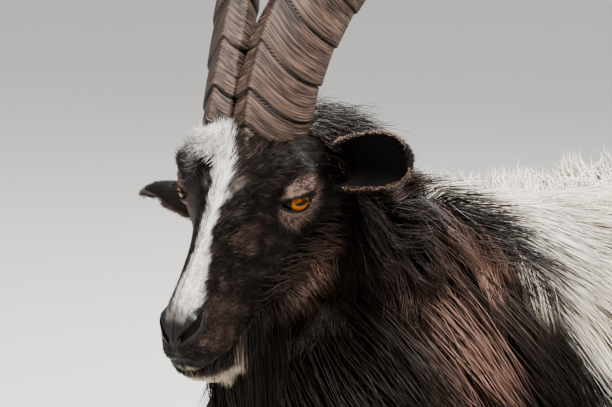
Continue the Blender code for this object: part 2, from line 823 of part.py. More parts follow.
def head_coat(skin):
    """Beard, forelock, nape tuft and the longer hair along the jaw."""
    coat = Coat(skin, SEED + 2)
    frame = head_frame()
    turn = frame.to_3x3()
    for i in range(8):
        share = i / 7
        root = frame @ Vector((0.128 - 0.075 * share, 0.012 * (-1) ** i, -0.10))
        lie = Vector((-0.10, 0.05 * (-1) ** i, -1.0))
        coat.grow(root, lie, 0.150 + 0.045 * math.sin(math.pi * share), 0.028, 0.0, 0.06)
    for i in range(5):
        share = i / 4
        root = frame @ Vector((0.004 + 0.012 * math.sin(2.2 * i), 0.006 - 0.036 * share, 0.06))
        lie = turn @ Vector((0.85, -0.55 * share - 0.1, 0.30))
        coat.grow(root, lie, 0.042, 0.016, 0.009)
    for i in range(6):
        share = 2 * i / 5 - 1
        root = frame @ Vector((-0.096, 0.056 * share, 0.012 - 0.020 * abs(share)))
        lie = Vector((-0.50, 0.8 * share, 1.00))
        coat.grow(root, lie, 0.066, 0.046, 0.024)
    for i in range(3):
        for side in (1.0, -1.0):
            share = i / 2
            root = frame @ Vector((-0.075 + 0.090 * share, 0.055 * side, -0.080 - 0.010 * share))
            lie = Vector((-0.35, 0.10 * side, -1.0))
            coat.grow(root, lie, 0.090 - 0.030 * share, 0.044, 0.008)
    return coat


def leg_coat(skin, at, backs):
    """A few flat locks down the back of the upper leg."""
    coat = Coat(skin, SEED + round(1000 * abs(at.x)))
    for height, back, length in backs:
        for shift in (-0.012, 0.012):
            root = Vector((at.x + back, at.y + shift, height))
            coat.grow(root, Vector((-0.35, shift * 6, -1.0)), length, 0.026, 0.005)
    return coat


def tail_mesh(grow=0.0):
    """Short tail, carried out and a little up, that narrows to its end."""
    rings = []
    for i in range(6):
        t = i / 5
        centre = Vector((-0.378 - 0.095 * t, 0.0, 0.672 + 0.038 * t - 0.020 * t * t))
        half = 0.021 - 0.013 * t + grow
        ring = []
        for k in range(10):
            a = 2 * math.pi * k / 10
            ring.append(centre + Vector((0.3 * math.sin(a), math.cos(a), math.sin(a))) * half)
        rings.append(ring)
    return tube_mesh(rings)


def tail_coat(skin):
    coat = Coat(skin, SEED + 6)
    for i in range(4):
        for side in (1.0, -1.0):
            root = Vector((-0.418 - 0.015 * i, 0.03 * side, 0.690))
            lie = Vector((-0.75, 0.35 * side, -0.55 + 0.08 * i))
            coat.grow(root, lie, 0.085, 0.026, 0.007)
    return coat


def pool_of(name, meshes):
    """Collection of hidden cutter objects made from closed meshes."""
    pool = bpy.data.collections.new(name)
    bpy.context.scene.collection.children.link(pool)
    for mesh in meshes:
        hidden(add_object(name + "_cutter", mesh, pool))
    return pool


def clear_of(target, meshes):
    """Cut closed meshes out of the object in one go, and remove them afterwards."""
    pool = pool_of(target.name + "_clearance", meshes)
    modifier = target.modifiers.new("Clear", "BOOLEAN")
    modifier.operation = "DIFFERENCE"
    modifier.operand_type = "COLLECTION"
    modifier.collection = pool
    modifier.solver = "MANIFOLD"
    apply_modifiers(target)
    for cutter in list(pool.objects):
        bpy.data.objects.remove(cutter)
    bpy.data.collections.remove(pool)
    keep_largest(target)


def head_plane():
    """Point and normal of the cut behind the horns and the jaw."""
    frame = head_frame()
    nape = frame @ Vector((-0.110, 0.0, 0.030))
    throat = frame @ Vector((-0.052, 0.0, -0.108))
    down = (throat - nape).normalized()
    return nape, down.cross(Vector((-math.sin(HEAD_TURN / 2), math.cos(HEAD_TURN / 2), 0.0)))


def neck_plane():
    """Point and normal of the cut from the withers down to the brisket."""
    return Vector((0.300, 0.0, 0.610)), Vector((0.75, 0.0, 0.66)).normalized()


def build_body(parts, cutters, paints):
    """Trunk, neck and the tops of the legs as one, with their coat, parted into nodes."""
    trunk_skin, neck_skin = trunk_mesh(), neck_mesh()
    stubs = [
        leg_mesh(sections, at, side, sections[0][0], LEG_TOP_CUT)
        for _, sections, at, side, _ in LEGS
    ]
    coats = [trunk_coat(trunk_skin), neck_coat(neck_skin)]
    meshes = [trunk_skin, neck_skin] + stubs
    for coat in coats:
        meshes += coat.meshes()
    torso = union("torso", meshes, parts, paints["fur_white"])
    neck = copy_of(torso, "neck", parts)
    neck.data.materials.clear()
    neck.data.materials.append(paints["fur_black"])
    point, normal = neck_plane()
    cut(torso, half_space("torso_front", point, normal, -GAP / 2, cutters))
    cut(neck, half_space("neck_back", point, -normal, -GAP / 2, cutters))
    return torso, neck


def build_legs(parts, paints):
    """Lower legs and hooves. Returns shapes a little larger, to clear the torso's coat of them."""
    clearances = []
    for name, sections, at, side, backs in LEGS:
        top, bottom = LEG_TOP_CUT - GAP, sections[-1][0]
        skin = leg_mesh(sections, at, side, top, bottom)
        coat = leg_coat(skin, at, backs)
        paint = paints["fur_black" if "fore" in name else "fur_white"]
        union(name, [skin] + coat.meshes(), parts, paint)
        union(name.replace("leg", "hoof"), hoof_mesh(at), parts, paints["hoof_horn"])
        clearances.append(leg_mesh(sections, at, side, top, bottom, grow=0.002))
        clearances += coat.meshes(extra=0.002)
    return clearances


def build_horns(parts, paints):
    """Both horns, each in two lengths that meet at a thin cut."""
    for name, side in (("left", 1.0), ("right", -1.0)):
        gap = GAP / 2 / HORN_LENGTH
        for length, first, last in (("base", 0.0, HORN_SPLIT - gap), ("tip", HORN_SPLIT + gap, 1.0)):
            add_object(
                f"horn_{name}_{length}",
                horn_mesh(side, first, last),
                parts,
                paints["horn"],
            )


def build_head(parts, cutters, paints):
    """Head with its lids, nostrils, mouth, beard and forelock, and the eyes and ears."""
    frame = head_frame()
    skin = head_mesh()
    coat = head_coat(skin)
    clearances = coat.meshes(extra=0.002)
    lids = [ball(frame @ eye_centre(s), EYE_RADIUS + GAP + LID_THICKNESS) for s in (1.0, -1.0)]
    head = union("head", [skin] + lids + coat.meshes(), parts, paints["fur_black"])
    point, normal = head_plane()
    cut(head, half_space("head_back", point, -normal, -GAP / 2, cutters))
    openings = [mouth_line()]
    for name, side in (("left", 1.0), ("right", -1.0)):
        openings.append(ball(frame @ eye_centre(side), EYE_RADIUS + GAP))
        openings += [lid_opening(side), nostril(side), horn_mesh(side, 0.0, HORN_SPLIT, GAP)]
        add_object(f"eye_{name}", ball(frame @ eye_centre(side), EYE_RADIUS), parts, paints["eye"])
        ear = add_object(f"ear_{name}", ear_mesh(side, *EAR_POSES[name]), parts, paints["fur_black"])
        clear_of(ear, [head_mesh(GAP)] + coat.meshes(extra=0.002))
    clear_of(head, openings)
    return head, clearances


def build():
    for old in list(bpy.data.objects):
        bpy.data.objects.remove(old)
    parts = bpy.data.collections.new("feral_goat")
    cutters = bpy.data.collections.new("cutters")
    bpy.context.scene.collection.children.link(parts)
    bpy.context.scene.collection.children.link(cutters)
    paints = {
        "fur_black": material("fur_black", "1C1614", 0.75),
        "fur_white": material("fur_white", "D9D3C8", 0.80),
        "horn": material("horn", "6E6157", 0.60),
        "hoof_horn": material("hoof_horn", "2B2622", 0.50),
        "eye": material("eye", "B8741A", 0.08),
    }
    torso, neck = build_body(parts, cutters, paints)
    head, head_clearances = build_head(parts, cutters, paints)
    point, normal = head_plane()
    front = half_space("neck_front", point, normal, -GAP / 2, cutters)
    frame = head_frame()
    under_jaw = frame @ Vector((0.0, 0.0, -JAW_BELOW_EYES))
    cut(front, half_space("under_jaw", under_jaw, -frame.col[2].to_3d(), 0.0, cutters))
    cut(neck, front)
    clear_of(neck, head_clearances + [head_mesh(GAP)])
    clear_of(torso, build_legs(parts, paints))
    build_horns(parts, paints)
    tail_skin = tail_mesh()
    coat = tail_coat(tail_skin)
    tail = union("tail", [tail_skin] + coat.meshes(), parts, paints["fur_white"])
    tail_root = half_space("tail_root", Vector((-0.409, 0.0, 0.68)), Vector((1.0, 0.0, 0.0)), 0.0, cutters)
    cut(tail, tail_root)
    clear_of(torso, [tail_mesh(GAP)] + coat.meshes(extra=0.002))
    stand_at_origin(parts)


def stand_at_origin(parts):
    """Parent every part to an empty that puts the middle of the whole box over the origin."""
    corners = [vert.co for part in parts.objects for vert in part.data.vertices]
    middle = [(min(c[i] for c in corners) + max(c[i] for c in corners)) / 2 for i in range(2)]
    stand = bpy.data.objects.new("goat", None)
    for part in parts.objects:
        part.parent = stand
        part.data.shade_smooth()
        part.data.set_sharp_from_angle(angle=math.radians(50))
    parts.objects.link(stand)
    stand.location = (-middle[0], -middle[1], 0.0)


build()
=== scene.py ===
"""A long-haired feral billy goat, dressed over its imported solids.

One skin takes the place of the flesh, and the coat grows from it as joined
tapered hairs. Horns, eyes and hooves are pieces of their own. Sizes are in metres
in the body's own axes: +X forward, +Y left, +Z up, with the soles at z = 0.
"""

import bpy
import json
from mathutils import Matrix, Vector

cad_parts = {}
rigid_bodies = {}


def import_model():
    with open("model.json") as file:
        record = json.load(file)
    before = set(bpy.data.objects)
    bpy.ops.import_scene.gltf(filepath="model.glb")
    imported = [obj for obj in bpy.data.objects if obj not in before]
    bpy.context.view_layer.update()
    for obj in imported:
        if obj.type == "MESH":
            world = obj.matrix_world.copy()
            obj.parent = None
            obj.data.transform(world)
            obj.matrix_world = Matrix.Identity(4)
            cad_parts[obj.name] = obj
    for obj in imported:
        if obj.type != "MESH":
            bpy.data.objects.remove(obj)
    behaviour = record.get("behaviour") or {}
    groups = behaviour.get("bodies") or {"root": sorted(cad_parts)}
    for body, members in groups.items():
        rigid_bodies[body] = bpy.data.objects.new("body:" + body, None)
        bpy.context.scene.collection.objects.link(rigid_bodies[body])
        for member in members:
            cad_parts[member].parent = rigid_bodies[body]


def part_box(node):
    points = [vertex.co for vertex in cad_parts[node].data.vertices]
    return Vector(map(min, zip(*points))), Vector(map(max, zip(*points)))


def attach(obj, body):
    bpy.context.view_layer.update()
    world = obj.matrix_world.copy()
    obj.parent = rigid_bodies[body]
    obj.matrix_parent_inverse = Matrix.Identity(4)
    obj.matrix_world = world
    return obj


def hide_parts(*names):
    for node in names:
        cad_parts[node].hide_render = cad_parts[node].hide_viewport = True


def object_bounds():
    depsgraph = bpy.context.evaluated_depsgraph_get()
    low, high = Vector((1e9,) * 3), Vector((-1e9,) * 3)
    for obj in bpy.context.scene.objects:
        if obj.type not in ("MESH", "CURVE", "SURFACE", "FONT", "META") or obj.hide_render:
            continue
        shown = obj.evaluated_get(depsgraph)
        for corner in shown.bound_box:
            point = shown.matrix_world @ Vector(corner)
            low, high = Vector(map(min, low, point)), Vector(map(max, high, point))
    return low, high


bl_info = {
    "name": "Feral Billy Goat",
    "version": (1, 0, 0),
    "blender": (4, 5, 0),
    "location": "View3D > Sidebar > Goat",
    "description": "Skin, coat, horns, eyes and hooves of a long-haired billy goat",
    "category": "Object",
}

import json
import math

import bmesh
import bpy
import numpy as np
from mathutils import Matrix, Vector
from mathutils.bvhtree import BVHTree
from mathutils.kdtree import KDTree

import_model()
SOLID_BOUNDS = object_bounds()

UP = Vector((0.0, 0.0, 1.0))

# Head: its own axes run forward along the nose, left, and up out of the forehead
EYES_AT = Vector((0.495, 0.040, 0.800))
HEAD_TURN = math.radians(23)
HEAD_DIP = math.radians(36)
NOSE_AHEAD = 0.174
POLL_BEHIND = -0.118
HEAD_COAT_DEPTH = 0.0015

# Eyes
EYE_RADIUS = 0.0155
EYE_SIDE = 0.0500
EYE_BELOW = 0.0030
EYE_TILT = math.radians(-23)
LID_THICKNESS = 0.0030
LID_OPENING = (0.0185, 0.0078)

# Ears: side, forward turn, lift, roll, drop and size of each
EAR_LENGTH = 0.114
EAR_WIDTH = 0.052
EAR_THICKNESS = 0.0024
EAR_ROOT = Vector((-0.066, 0.058, -0.031))
EAR_POSES = {
    "left": (1.0, math.radians(30), math.radians(18), math.radians(0), 0.0, 1.0),
    "right": (-1.0, math.radians(-12), math.radians(1), math.radians(72), 0.060, 0.98),
}

# Horns
HORN_LENGTH = 0.680
HORN_DEPTH = 0.100
HORN_WIDTH = 0.050
HORN_FRONT_FACE = 0.84
HORN_INNER_FACE = 0.70
HORN_LEAN = math.radians(5.4)
HORN_SPLAY = 38
HORN_RADIUS_OF_CURVE = (0.225, 0.315)
HORN_ROOT = Vector((-0.0313, 0.0190, 0.022))
HORN_TWIST = (math.radians(11), math.radians(91))
HORN_KEEL = math.radians(-30)
HORN_GROOVES = (
    (-0.012, 0.006, 0.022, 0.050, 0.089, 0.134, 0.178, 0.217, 0.252, 0.285, 0.318, 0.350, 0.381)
    + (0.411, 0.440, 0.468, 0.495, 0.521, 0.546, 0.570, 0.593, 0.615, 0.636, 0.656, 0.720)
)

# Legs: kind, place of the hoof and side of each
LEG_LEAN = 0.02
HOOF_HEIGHT = 0.040
CLAW_LENGTH = 0.064
CLAW_WIDTH = 0.024
CLAW_SPREAD = 0.0135
DEWCLAW_HEIGHT = 0.084
LEGS = {
    "foreleg_left": ("fore", Vector((0.270, 0.088, 0.0)), 1.0),
    "foreleg_right": ("fore", Vector((0.296, -0.088, 0.0)), -1.0),
    "hindleg_left": ("hind", Vector((-0.338, 0.094, 0.0)), 1.0),
    "hindleg_right": ("hind", Vector((-0.310, -0.094, 0.0)), -1.0),
}

# x, top, widest height, bottom, half width, squareness above, squareness below
TRUNK_SECTIONS = (
    (-0.412, 0.645, 0.590, 0.535, 0.042, 2.0, 2.0),
    (-0.370, 0.700, 0.590, 0.470, 0.095, 2.2, 2.0),
    (-0.292, 0.727, 0.600, 0.425, 0.122, 2.2, 2.0),
    (-0.165, 0.721, 0.575, 0.395, 0.132, 2.1, 2.1),
    (-0.020, 0.721, 0.550, 0.367, 0.154, 2.0, 2.2),
    (0.120, 0.725, 0.555, 0.375, 0.146, 2.0, 2.1),
    (0.220, 0.737, 0.570, 0.390, 0.132, 2.0, 2.0),
    (0.310, 0.720, 0.575, 0.410, 0.120, 2.0, 2.0),
    (0.385, 0.670, 0.560, 0.450, 0.094, 2.0, 2.0),
    (0.425, 0.610, 0.550, 0.500, 0.045, 2.0, 2.0),
)

# forward, top, widest height, bottom, half width, squareness above and below
HEAD_SECTIONS = (
    (POLL_BEHIND, -0.008, -0.045, -0.096, 0.047, 2.1, 2.2),
    (-0.095, 0.006, -0.036, -0.106, 0.058, 2.2, 2.2),
    (-0.070, 0.022, -0.026, -0.110, 0.063, 2.3, 2.1),
    (-0.045, 0.044, -0.018, -0.110, 0.064, 2.3, 2.1),
    (-0.008, 0.056, -0.012, -0.106, 0.060, 2.2, 2.0),
    (0.030, 0.041, -0.036, -0.099, 0.047, 1.75, 2.2),
    (0.070, 0.026, -0.048, -0.090, 0.036, 1.60, 2.4),
    (0.108, 0.018, -0.048, -0.086, 0.029, 1.65, 2.5),
    (0.138, 0.011, -0.045, -0.087, 0.0265, 1.80, 2.5),
    (0.155, 0.004, -0.041, -0.078, 0.0235, 1.90, 2.4),
    (0.166, -0.004, -0.037, -0.064, 0.0180, 2.0, 2.3),
    (0.172, -0.013, -0.034, -0.053, 0.0110, 2.0, 2.2),
    (NOSE_AHEAD, -0.024, -0.033, -0.042, 0.0045, 2.0, 2.0),
)

# Swellings and hollows of the head: centre, reach, push. Each is mirrored.
HEAD_FORMS = (
    ((-0.012, 0.054, 0.018), 0.024, (0.000, 0.0050, 0.0050)),
    ((-0.040, 0.056, -0.052), 0.042, (0.000, 0.0060, 0.0000)),
    ((0.045, 0.042, -0.004), 0.026, (0.000, -0.0030, 0.0000)),
    ((0.150, 0.017, -0.008), 0.014, (0.002, 0.0045, 0.0030)),
    ((0.150, 0.023, -0.040), 0.018, (0.002, 0.0030, -0.0010)),
    ((0.142, 0.012, -0.082), 0.018, (0.004, 0.0000, -0.0020)),
    ((0.020, 0.000, 0.042), 0.030, (0.000, 0.0000, 0.0020)),
    ((-0.010, 0.014, 0.056), 0.028, (0.000, 0.0000, 0.0130)),
    ((0.000, 0.056, -0.002), 0.038, (0.000, 0.0065, 0.0010)),
    ((-0.004, 0.050, 0.026), 0.022, (0.000, 0.0030, 0.0030)),
    ((0.164, 0.013, -0.009), 0.009, (0.001, 0.0015, 0.0012)),
    ((0.160, 0.017, -0.044), 0.010, (0.001, 0.0016, -0.0004)),
    ((0.150, 0.012, -0.066), 0.012, (0.0015, 0.0010, -0.0004)),
    ((0.020, 0.049, -0.012), 0.010, (0.000, -0.0022, 0.0000)),
)

# Forms of the trunk, in the same way
TRUNK_FORMS = (
    ((-0.285, 0.115, 0.520), 0.110, (0.000, 0.016, 0.000)),
    ((0.240, 0.120, 0.560), 0.110, (0.000, 0.012, 0.000)),
    ((0.180, 0.000, 0.740), 0.060, (0.000, 0.000, 0.010)),
    ((-0.205, 0.120, 0.600), 0.060, (0.000, -0.010, 0.000)),
)

# height, forward of the hoof, fore-and-aft half, sideways half
LEG_SECTIONS = {
    "fore": (
        (0.520, -0.020, 0.062, 0.034),
        (0.430, -0.022, 0.048, 0.033),
        (0.340, -0.008, 0.031, 0.025),
        (0.262, -0.004, 0.0235, 0.0225),
        (0.232, -0.002, 0.0235, 0.0220),
        (0.190, -0.005, 0.0165, 0.0155),
        (0.130, -0.006, 0.0150, 0.0140),
        (0.092, -0.006, 0.0190, 0.0185),
        (0.062, 0.002, 0.0155, 0.0165),
        (0.036, 0.010, 0.0185, 0.0200),
    ),
    "hind": (
        (0.540, 0.070, 0.088, 0.040),
        (0.450, 0.072, 0.072, 0.038),
        (0.380, 0.045, 0.050, 0.030),
        (0.320, 0.008, 0.032, 0.022),
        (0.278, -0.017, 0.0270, 0.0200),
        (0.245, -0.018, 0.0215, 0.0185),
        (0.180, -0.014, 0.0165, 0.0150),
        (0.130, -0.010, 0.0160, 0.0145),
        (0.094, -0.006, 0.0190, 0.0185),
        (0.062, 0.002, 0.0155, 0.0165),
        (0.036, 0.010, 0.0185, 0.0200),
    ),
}

# White blaze down the face: forward, middle, half width
BLAZE = (
    (-0.030, -0.006, 0.013),
    (0.000, -0.005, 0.012),
    (0.014, 0.002, 0.009),
    (0.036, 0.003, 0.0054),
    (0.053, 0.002, 0.0044),
    (0.071, 0.0005, 0.0046),
    (0.100, 0.0035, 0.0050),
    (0.124, 0.0045, 0.0085),
    (0.142, 0.0055, 0.0105),
    (0.150, 0.0055, 0.0080),
)

# Mouth from the middle of the lips to one corner: forward, sideways, height
MOUTH = (
    (0.1745, 0.0000, -0.0310),
    (0.1740, 0.0050, -0.0340),
    (0.1720, 0.0092, -0.0410),
    (0.1690, 0.0142, -0.0455),
    (0.1640, 0.0190, -0.0470),
    (0.1550, 0.0235, -0.0500),
    (0.1400, 0.0262, -0.0575),
    (0.1200, 0.0285, -0.0600),
)

# Nostril slit from the front of the nose to the top of its wing, in the same way
NOSTRIL = (
    (0.1715, 0.0045, -0.0150),
    (0.1660, 0.0105, -0.0105),
    (0.1590, 0.0165, -0.0085),
    (0.1500, 0.0200, -0.0065),
    (0.1400, 0.0212, -0.0080),
)

# Hair: how far it may reach past the solids' box, how deep it is rooted, how flat it is,
# and its patch on the unwrap
HAIR_ROOM = 0.014
HAIR_ROOT_DEPTH = 0.0012
HAIR_FLATNESS = 0.8
MOST_TRIANGLES_OF_A_PIECE = 190_000
HAIR_PATCH = (0.0012, 0.003)

# Places of the parts on the unwrap: left, bottom, size
HEAD_TILE = (0.02, 0.52, 0.44)
NECK_TILE = (0.52, 0.52, 0.44)
TRUNK_TILE = (0.02, 0.02, 0.44)

# Lights: place from the eyes, size, power
LIGHTS = {
    "key": (Vector((0.4, 1.9, 2.5)), 1.3, 230),
    "fill": (Vector((2.6, -0.6, 0.6)), 2.4, 26),
    "rim": (Vector((-2.2, -1.2, 2.0)), 1.6, 140),
}

# Camera: bearing from straight ahead round to the left, angle above the level, distance from the aim,
# and the aim's distance to the right of the eyes and below them
CAMERA_BEARING = math.radians(50)
CAMERA_HEIGHT = math.radians(12)
CAMERA_DISTANCE = 3.0
CAMERA_AIM = (0.058, 0.0123)
CAMERA_LENS = 194

SIDES = {"left": 1.0, "right": -1.0}

# Colours of the hair and skin, as sRGB hex
HAIR = {
    "black": "130F0D",
    "umber": "3A2E29",
    "copper": "8C6C60",
    "fawn": "A08479",
    "grey": "9A938B",
    "white": "EFE7DF",
    "cream": "DCCFB8",
    "leather": "1B1716",
    "pink": "8E6C62",
    "rim": "A28A7A",
}

# Patches of colour on the head, mirrored: centre and radii in its axes, colour, strength
FACE_PATCHES = (
    ((0.000, 0.055, -0.003), (0.025, 0.020, 0.022), "fawn", 0.55),
    # Copper patches ahead of the eye and on the cheek: lighter brown hair, partly a painted highlight where
    # light falls on the side of the face
    ((0.060, 0.028, 0.000), (0.020, 0.010, 0.016), "copper", 0.18),
    ((-0.004, 0.052, -0.074), (0.020, 0.020, 0.014), "copper", 0.70),
    ((0.132, 0.026, -0.030), (0.030, 0.016, 0.026), "copper", 0.17),
    ((0.138, 0.026, -0.052), (0.014, 0.012, 0.010), "copper", 0.20),
    ((0.040, 0.040, -0.050), (0.030, 0.016, 0.020), "umber", 0.35),
    ((0.020, 0.042, -0.080), (0.020, 0.020, 0.014), "fawn", 0.55),
    ((0.028, 0.012, 0.034), (0.007, 0.006, 0.008), "grey", 0.50),
    ((0.152, 0.004, 0.000), (0.011, 0.018, 0.012), "grey", 0.55),
    ((0.150, 0.012, -0.088), (0.022, 0.022, 0.012), "cream", 0.90),
    ((0.171, 0.000, -0.049), (0.005, 0.009, 0.004), "cream", 0.40),
)


def unit(vectors):
    return vectors / np.maximum(np.linalg.norm(vectors, axis=-1, keepdims=True), 1e-9)


def ramp(value, low, high):
    """0 below low, 1 above high, smooth between; falls instead where low is the larger."""
    t = np.clip((value - low) / (high - low), 0.0, 1.0)
    return t * t * (3 - 2 * t)


def dot(a, b):
    return (a * b).sum(-1, keepdims=True)


def waves(points, size, seed, octaves=6):
    """Soft noise from about -1 to 1 with features of a size, the same for a seed."""
    draw = np.random.default_rng(seed)
    total = np.zeros(len(points))
    for _ in range(octaves):
        heading = unit(draw.normal(size=3))
        stretch = 2 * math.pi / size * draw.uniform(0.6, 1.5)
        total += np.sin(points @ heading * stretch + draw.uniform(0, 6.3))
    return total / octaves**0.5


def linear(code):
    """Linear colour from a hexadecimal sRGB code."""
    channels = [int(code[i : i + 2], 16) / 255 for i in (0, 2, 4)]
    return [c / 12.92 if c <= 0.04045 else ((c + 0.055) / 1.055) ** 2.4 for c in channels]


def rgba(code):
    return linear(code) + [1.0]


def towards(colours, code, share):
    """Colours turned towards one of the hair's named colours."""
    return colours + (np.array(linear(HAIR[code])) - colours) * share


def directions(forward, left, up):
    """Directions from three parts, each of them one value for all hairs or one for each."""
    return np.stack(np.broadcast_arrays(forward, left, up), axis=-1)


def blend(rows, at):
    """Row of section sizes at a position, on a smooth curve through the named rows."""
    last = len(rows) - 1
    low = 0
    forward = 1.0 if rows[last][0] > rows[0][0] else -1.0
    while low < last - 1 and (at - rows[low + 1][0]) * forward > 0.0:
        low += 1
    before, start, end = rows[max(low - 1, 0)], rows[low], rows[low + 1]
    after = rows[min(low + 2, last)]
    span = end[0] - start[0]
    t = (at - start[0]) / span
    sizes = []
    for column in range(1, len(start)):
        slope_in = (end[column] - before[column]) * span / (end[0] - before[0])
        slope_out = (after[column] - start[column]) * span / (after[0] - start[0])
        sizes.append(
            (2 * t**3 - 3 * t**2 + 1) * start[column]
            + (t**3 - 2 * t**2 + t) * slope_in
            + (-2 * t**3 + 3 * t**2) * end[column]
            + (t**3 - t**2) * slope_out
        )
    return sizes


def section_ring(sizes, along, angles):
    """Ring of a body section: angle 0 is its top, a quarter turn its left side."""
    top, middle, bottom, half, square_above, square_below = sizes
    side, rise = np.sin(angles), np.cos(angles)
    square = np.where(rise > 0.0, square_above, square_below)
    reach = np.where(rise > 0.0, top, bottom) - middle
    across = half * np.sign(side) * np.abs(side) ** (2 / square)
    height = middle + reach * np.abs(rise) ** (2 / square)
    return np.stack([np.full_like(across, along), across, height], axis=-1)


def formed(points, forms):
    """The points moved by the swellings and hollows round them, on both sides."""
    moved = points.copy()
    for centre, reach, push in forms:
        for side in (1.0, -1.0):
            away = points - np.array([centre[0], centre[1] * side, centre[2]])
            share = np.exp(-2.0 * (away**2).sum(-1) / reach**2)
            if centre[1] == 0.0:
                share = share * 0.5
            moved = moved + np.array([push[0], push[1] * side, push[2]]) * share[..., None]
    return moved


def head_frame():
    """Matrix from the head's own axes to the body's."""
    turn = Matrix.Rotation(HEAD_TURN, 4, "Z")
    dip = Matrix.Rotation(HEAD_DIP, 4, "Y")
    return Matrix.Translation(EYES_AT) @ turn @ dip


HEAD = np.array(head_frame())


def from_head(points):
    return points @ HEAD[:3, :3].T + HEAD[:3, 3]


def to_head(points):
    return (points - HEAD[:3, 3]) @ HEAD[:3, :3]


def head_turned(vectors):
    return vectors @ HEAD[:3, :3].T


def eye_centre(side):
    return Vector((0.0, EYE_SIDE * side, -EYE_BELOW))


def body_shift():
    """From the body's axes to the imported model's: the solids stand with their box over the origin."""
    low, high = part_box("eye_left")
    return (Vector(low) + Vector(high)) / 2 - head_frame() @ eye_centre(1.0)


SHIFT = body_shift()


def even_steps(first, last, count, crowd=0.0):
    """Positions from first to last, closer together towards the last one as crowd grows."""
    s = np.linspace(0.0, 1.0, count)
    return first + (last - first) * (s + crowd * np.sin(math.pi * s) / math.pi)


def full_turn(count):
    return 2 * math.pi * np.arange(count) / count


def trunk_grid(rows=72, sides=72):
    rings = [
        formed(section_ring(blend(TRUNK_SECTIONS, x), x, full_turn(sides)), TRUNK_FORMS)
        for x in even_steps(TRUNK_SECTIONS[0][0], TRUNK_SECTIONS[-1][0], rows)
    ]
    return np.array(rings)


def head_grid(rows=110, sides=120):
    """The head's skin, inside the solid by the depth of its short coat."""
    rings = [
        formed(section_ring(blend(HEAD_SECTIONS, x), x, full_turn(sides)), HEAD_FORMS)
        for x in even_steps(POLL_BEHIND, NOSE_AHEAD, rows, crowd=0.85)
    ]
    grid = np.array(rings)
    grid[:, :, 1:] -= np.sign(grid[:, :, 1:] - grid[:, :, 1:].mean(1, keepdims=True)) * HEAD_COAT_DEPTH * 0.7
    return from_head(grid)


def neck_grid(rows=40, sides=64):
    """The neck, from inside the chest to inside the back of the head."""
    matrix = head_frame()
    start, start_depth, start_width = Vector((0.225, 0.0, 0.575)), 0.155, 0.112
    end, end_depth, end_width = matrix @ Vector((-0.072, 0.0, -0.042)), 0.048, 0.052
    along_start = Vector((0.75, 0.0, 0.66)).normalized()
    along_end = (matrix.to_3x3() @ Vector((0.90, 0.0, 0.15))).normalized()
    rings = []
    for t in np.linspace(0.0, 1.0, rows):
        bend = t * t * (3 - 2 * t)
        centre = start.lerp(end, t) + Vector((0.030, 0.0, -0.012)) * math.sin(math.pi * t)
        along = along_start.lerp(along_end, bend).normalized()
        side = UP.cross(along).normalized()
        rise = np.array(along.cross(side))
        depth = start_depth + (end_depth - start_depth) * bend
        width = start_width + (end_width - start_width) * bend
        a = full_turn(sides)[:, None]
        rings.append(np.array(centre) + rise * depth * np.cos(a) + np.array(side) * width * np.sin(a))
    return np.array(rings)


def leg_grid(name, rows=64, sides=28):
    """One leg, from inside the body to inside its hoof."""
    kind, at, side = LEGS[name]
    sections = LEG_SECTIONS[kind]
    a = full_turn(sides)
    rings = []
    for z in even_steps(sections[0][0], sections[-1][0], rows):
        forward, fore, sideways = blend(sections, z)
        lean = LEG_LEAN * (z - HOOF_HEIGHT)
        x = at.x + forward + fore * np.cos(a)
        y = at.y - side * lean + sideways * np.sin(a)
        rings.append(np.stack([x, y, np.full(sides, z)], axis=-1))
    return np.array(rings)


def tail_grid(rows=16, sides=20):
    a = full_turn(sides)
    rings = []
    for t in np.linspace(0.0, 1.0, rows):
        centre = np.array([-0.378 - 0.095 * t, 0.0, 0.672 + 0.038 * t - 0.020 * t * t])
        half = 0.019 - 0.013 * t
        rings.append(centre + np.stack([0.3 * np.sin(a), np.cos(a), np.sin(a)], axis=-1) * half)
    return np.array(rings)


def ear_grid(name, rows=34, half_sides=22):
    """Leaf-shaped cup: a narrow tube at the root that opens forwards and closes at the tip."""
    side, turn, lift, roll, drop, size = EAR_POSES[name]
    rings = []
    for t in np.linspace(0.0, 1.0, rows):
        width = EAR_WIDTH * (0.42 + 0.58 * math.sin(math.pi * min(1.0, 0.10 + 0.62 * t)) ** 0.8)
        width = max(width * (1.0 - t**5) ** 0.5, 0.003)
        curl = math.radians(118 - 62 * t)
        radius = width / 2 / math.sin(min(curl, math.pi / 2))
        a = np.linspace(-curl, curl, half_sides)
        stem = np.array([0.0, EAR_LENGTH * t, -0.010 * t**2])
        reach = np.stack([-np.cos(a), 0 * a, np.sin(a)], axis=-1)
        wall = EAR_THICKNESS * np.sqrt(np.clip(1.0 - (a / curl) ** 6, 0.05, 1.0))[:, None]
        rings.append(np.concatenate([stem + reach * (radius + wall), (stem + reach * radius)[::-1]]))
    grid = np.array(rings) * size
    pose = Matrix.Rotation(-turn, 3, "Z") @ Matrix.Rotation(lift, 3, "X") @ Matrix.Rotation(roll, 3, "Y")
    grid = grid @ np.array(pose).T
    grid[:, :, 1] *= side
    level = np.array(Matrix.Rotation(HEAD_TURN, 3, "Z"))
    root = head_frame() @ Vector((EAR_ROOT.x, EAR_ROOT.y * side, EAR_ROOT.z)) - UP * drop
    return grid @ level.T + np.array(root)


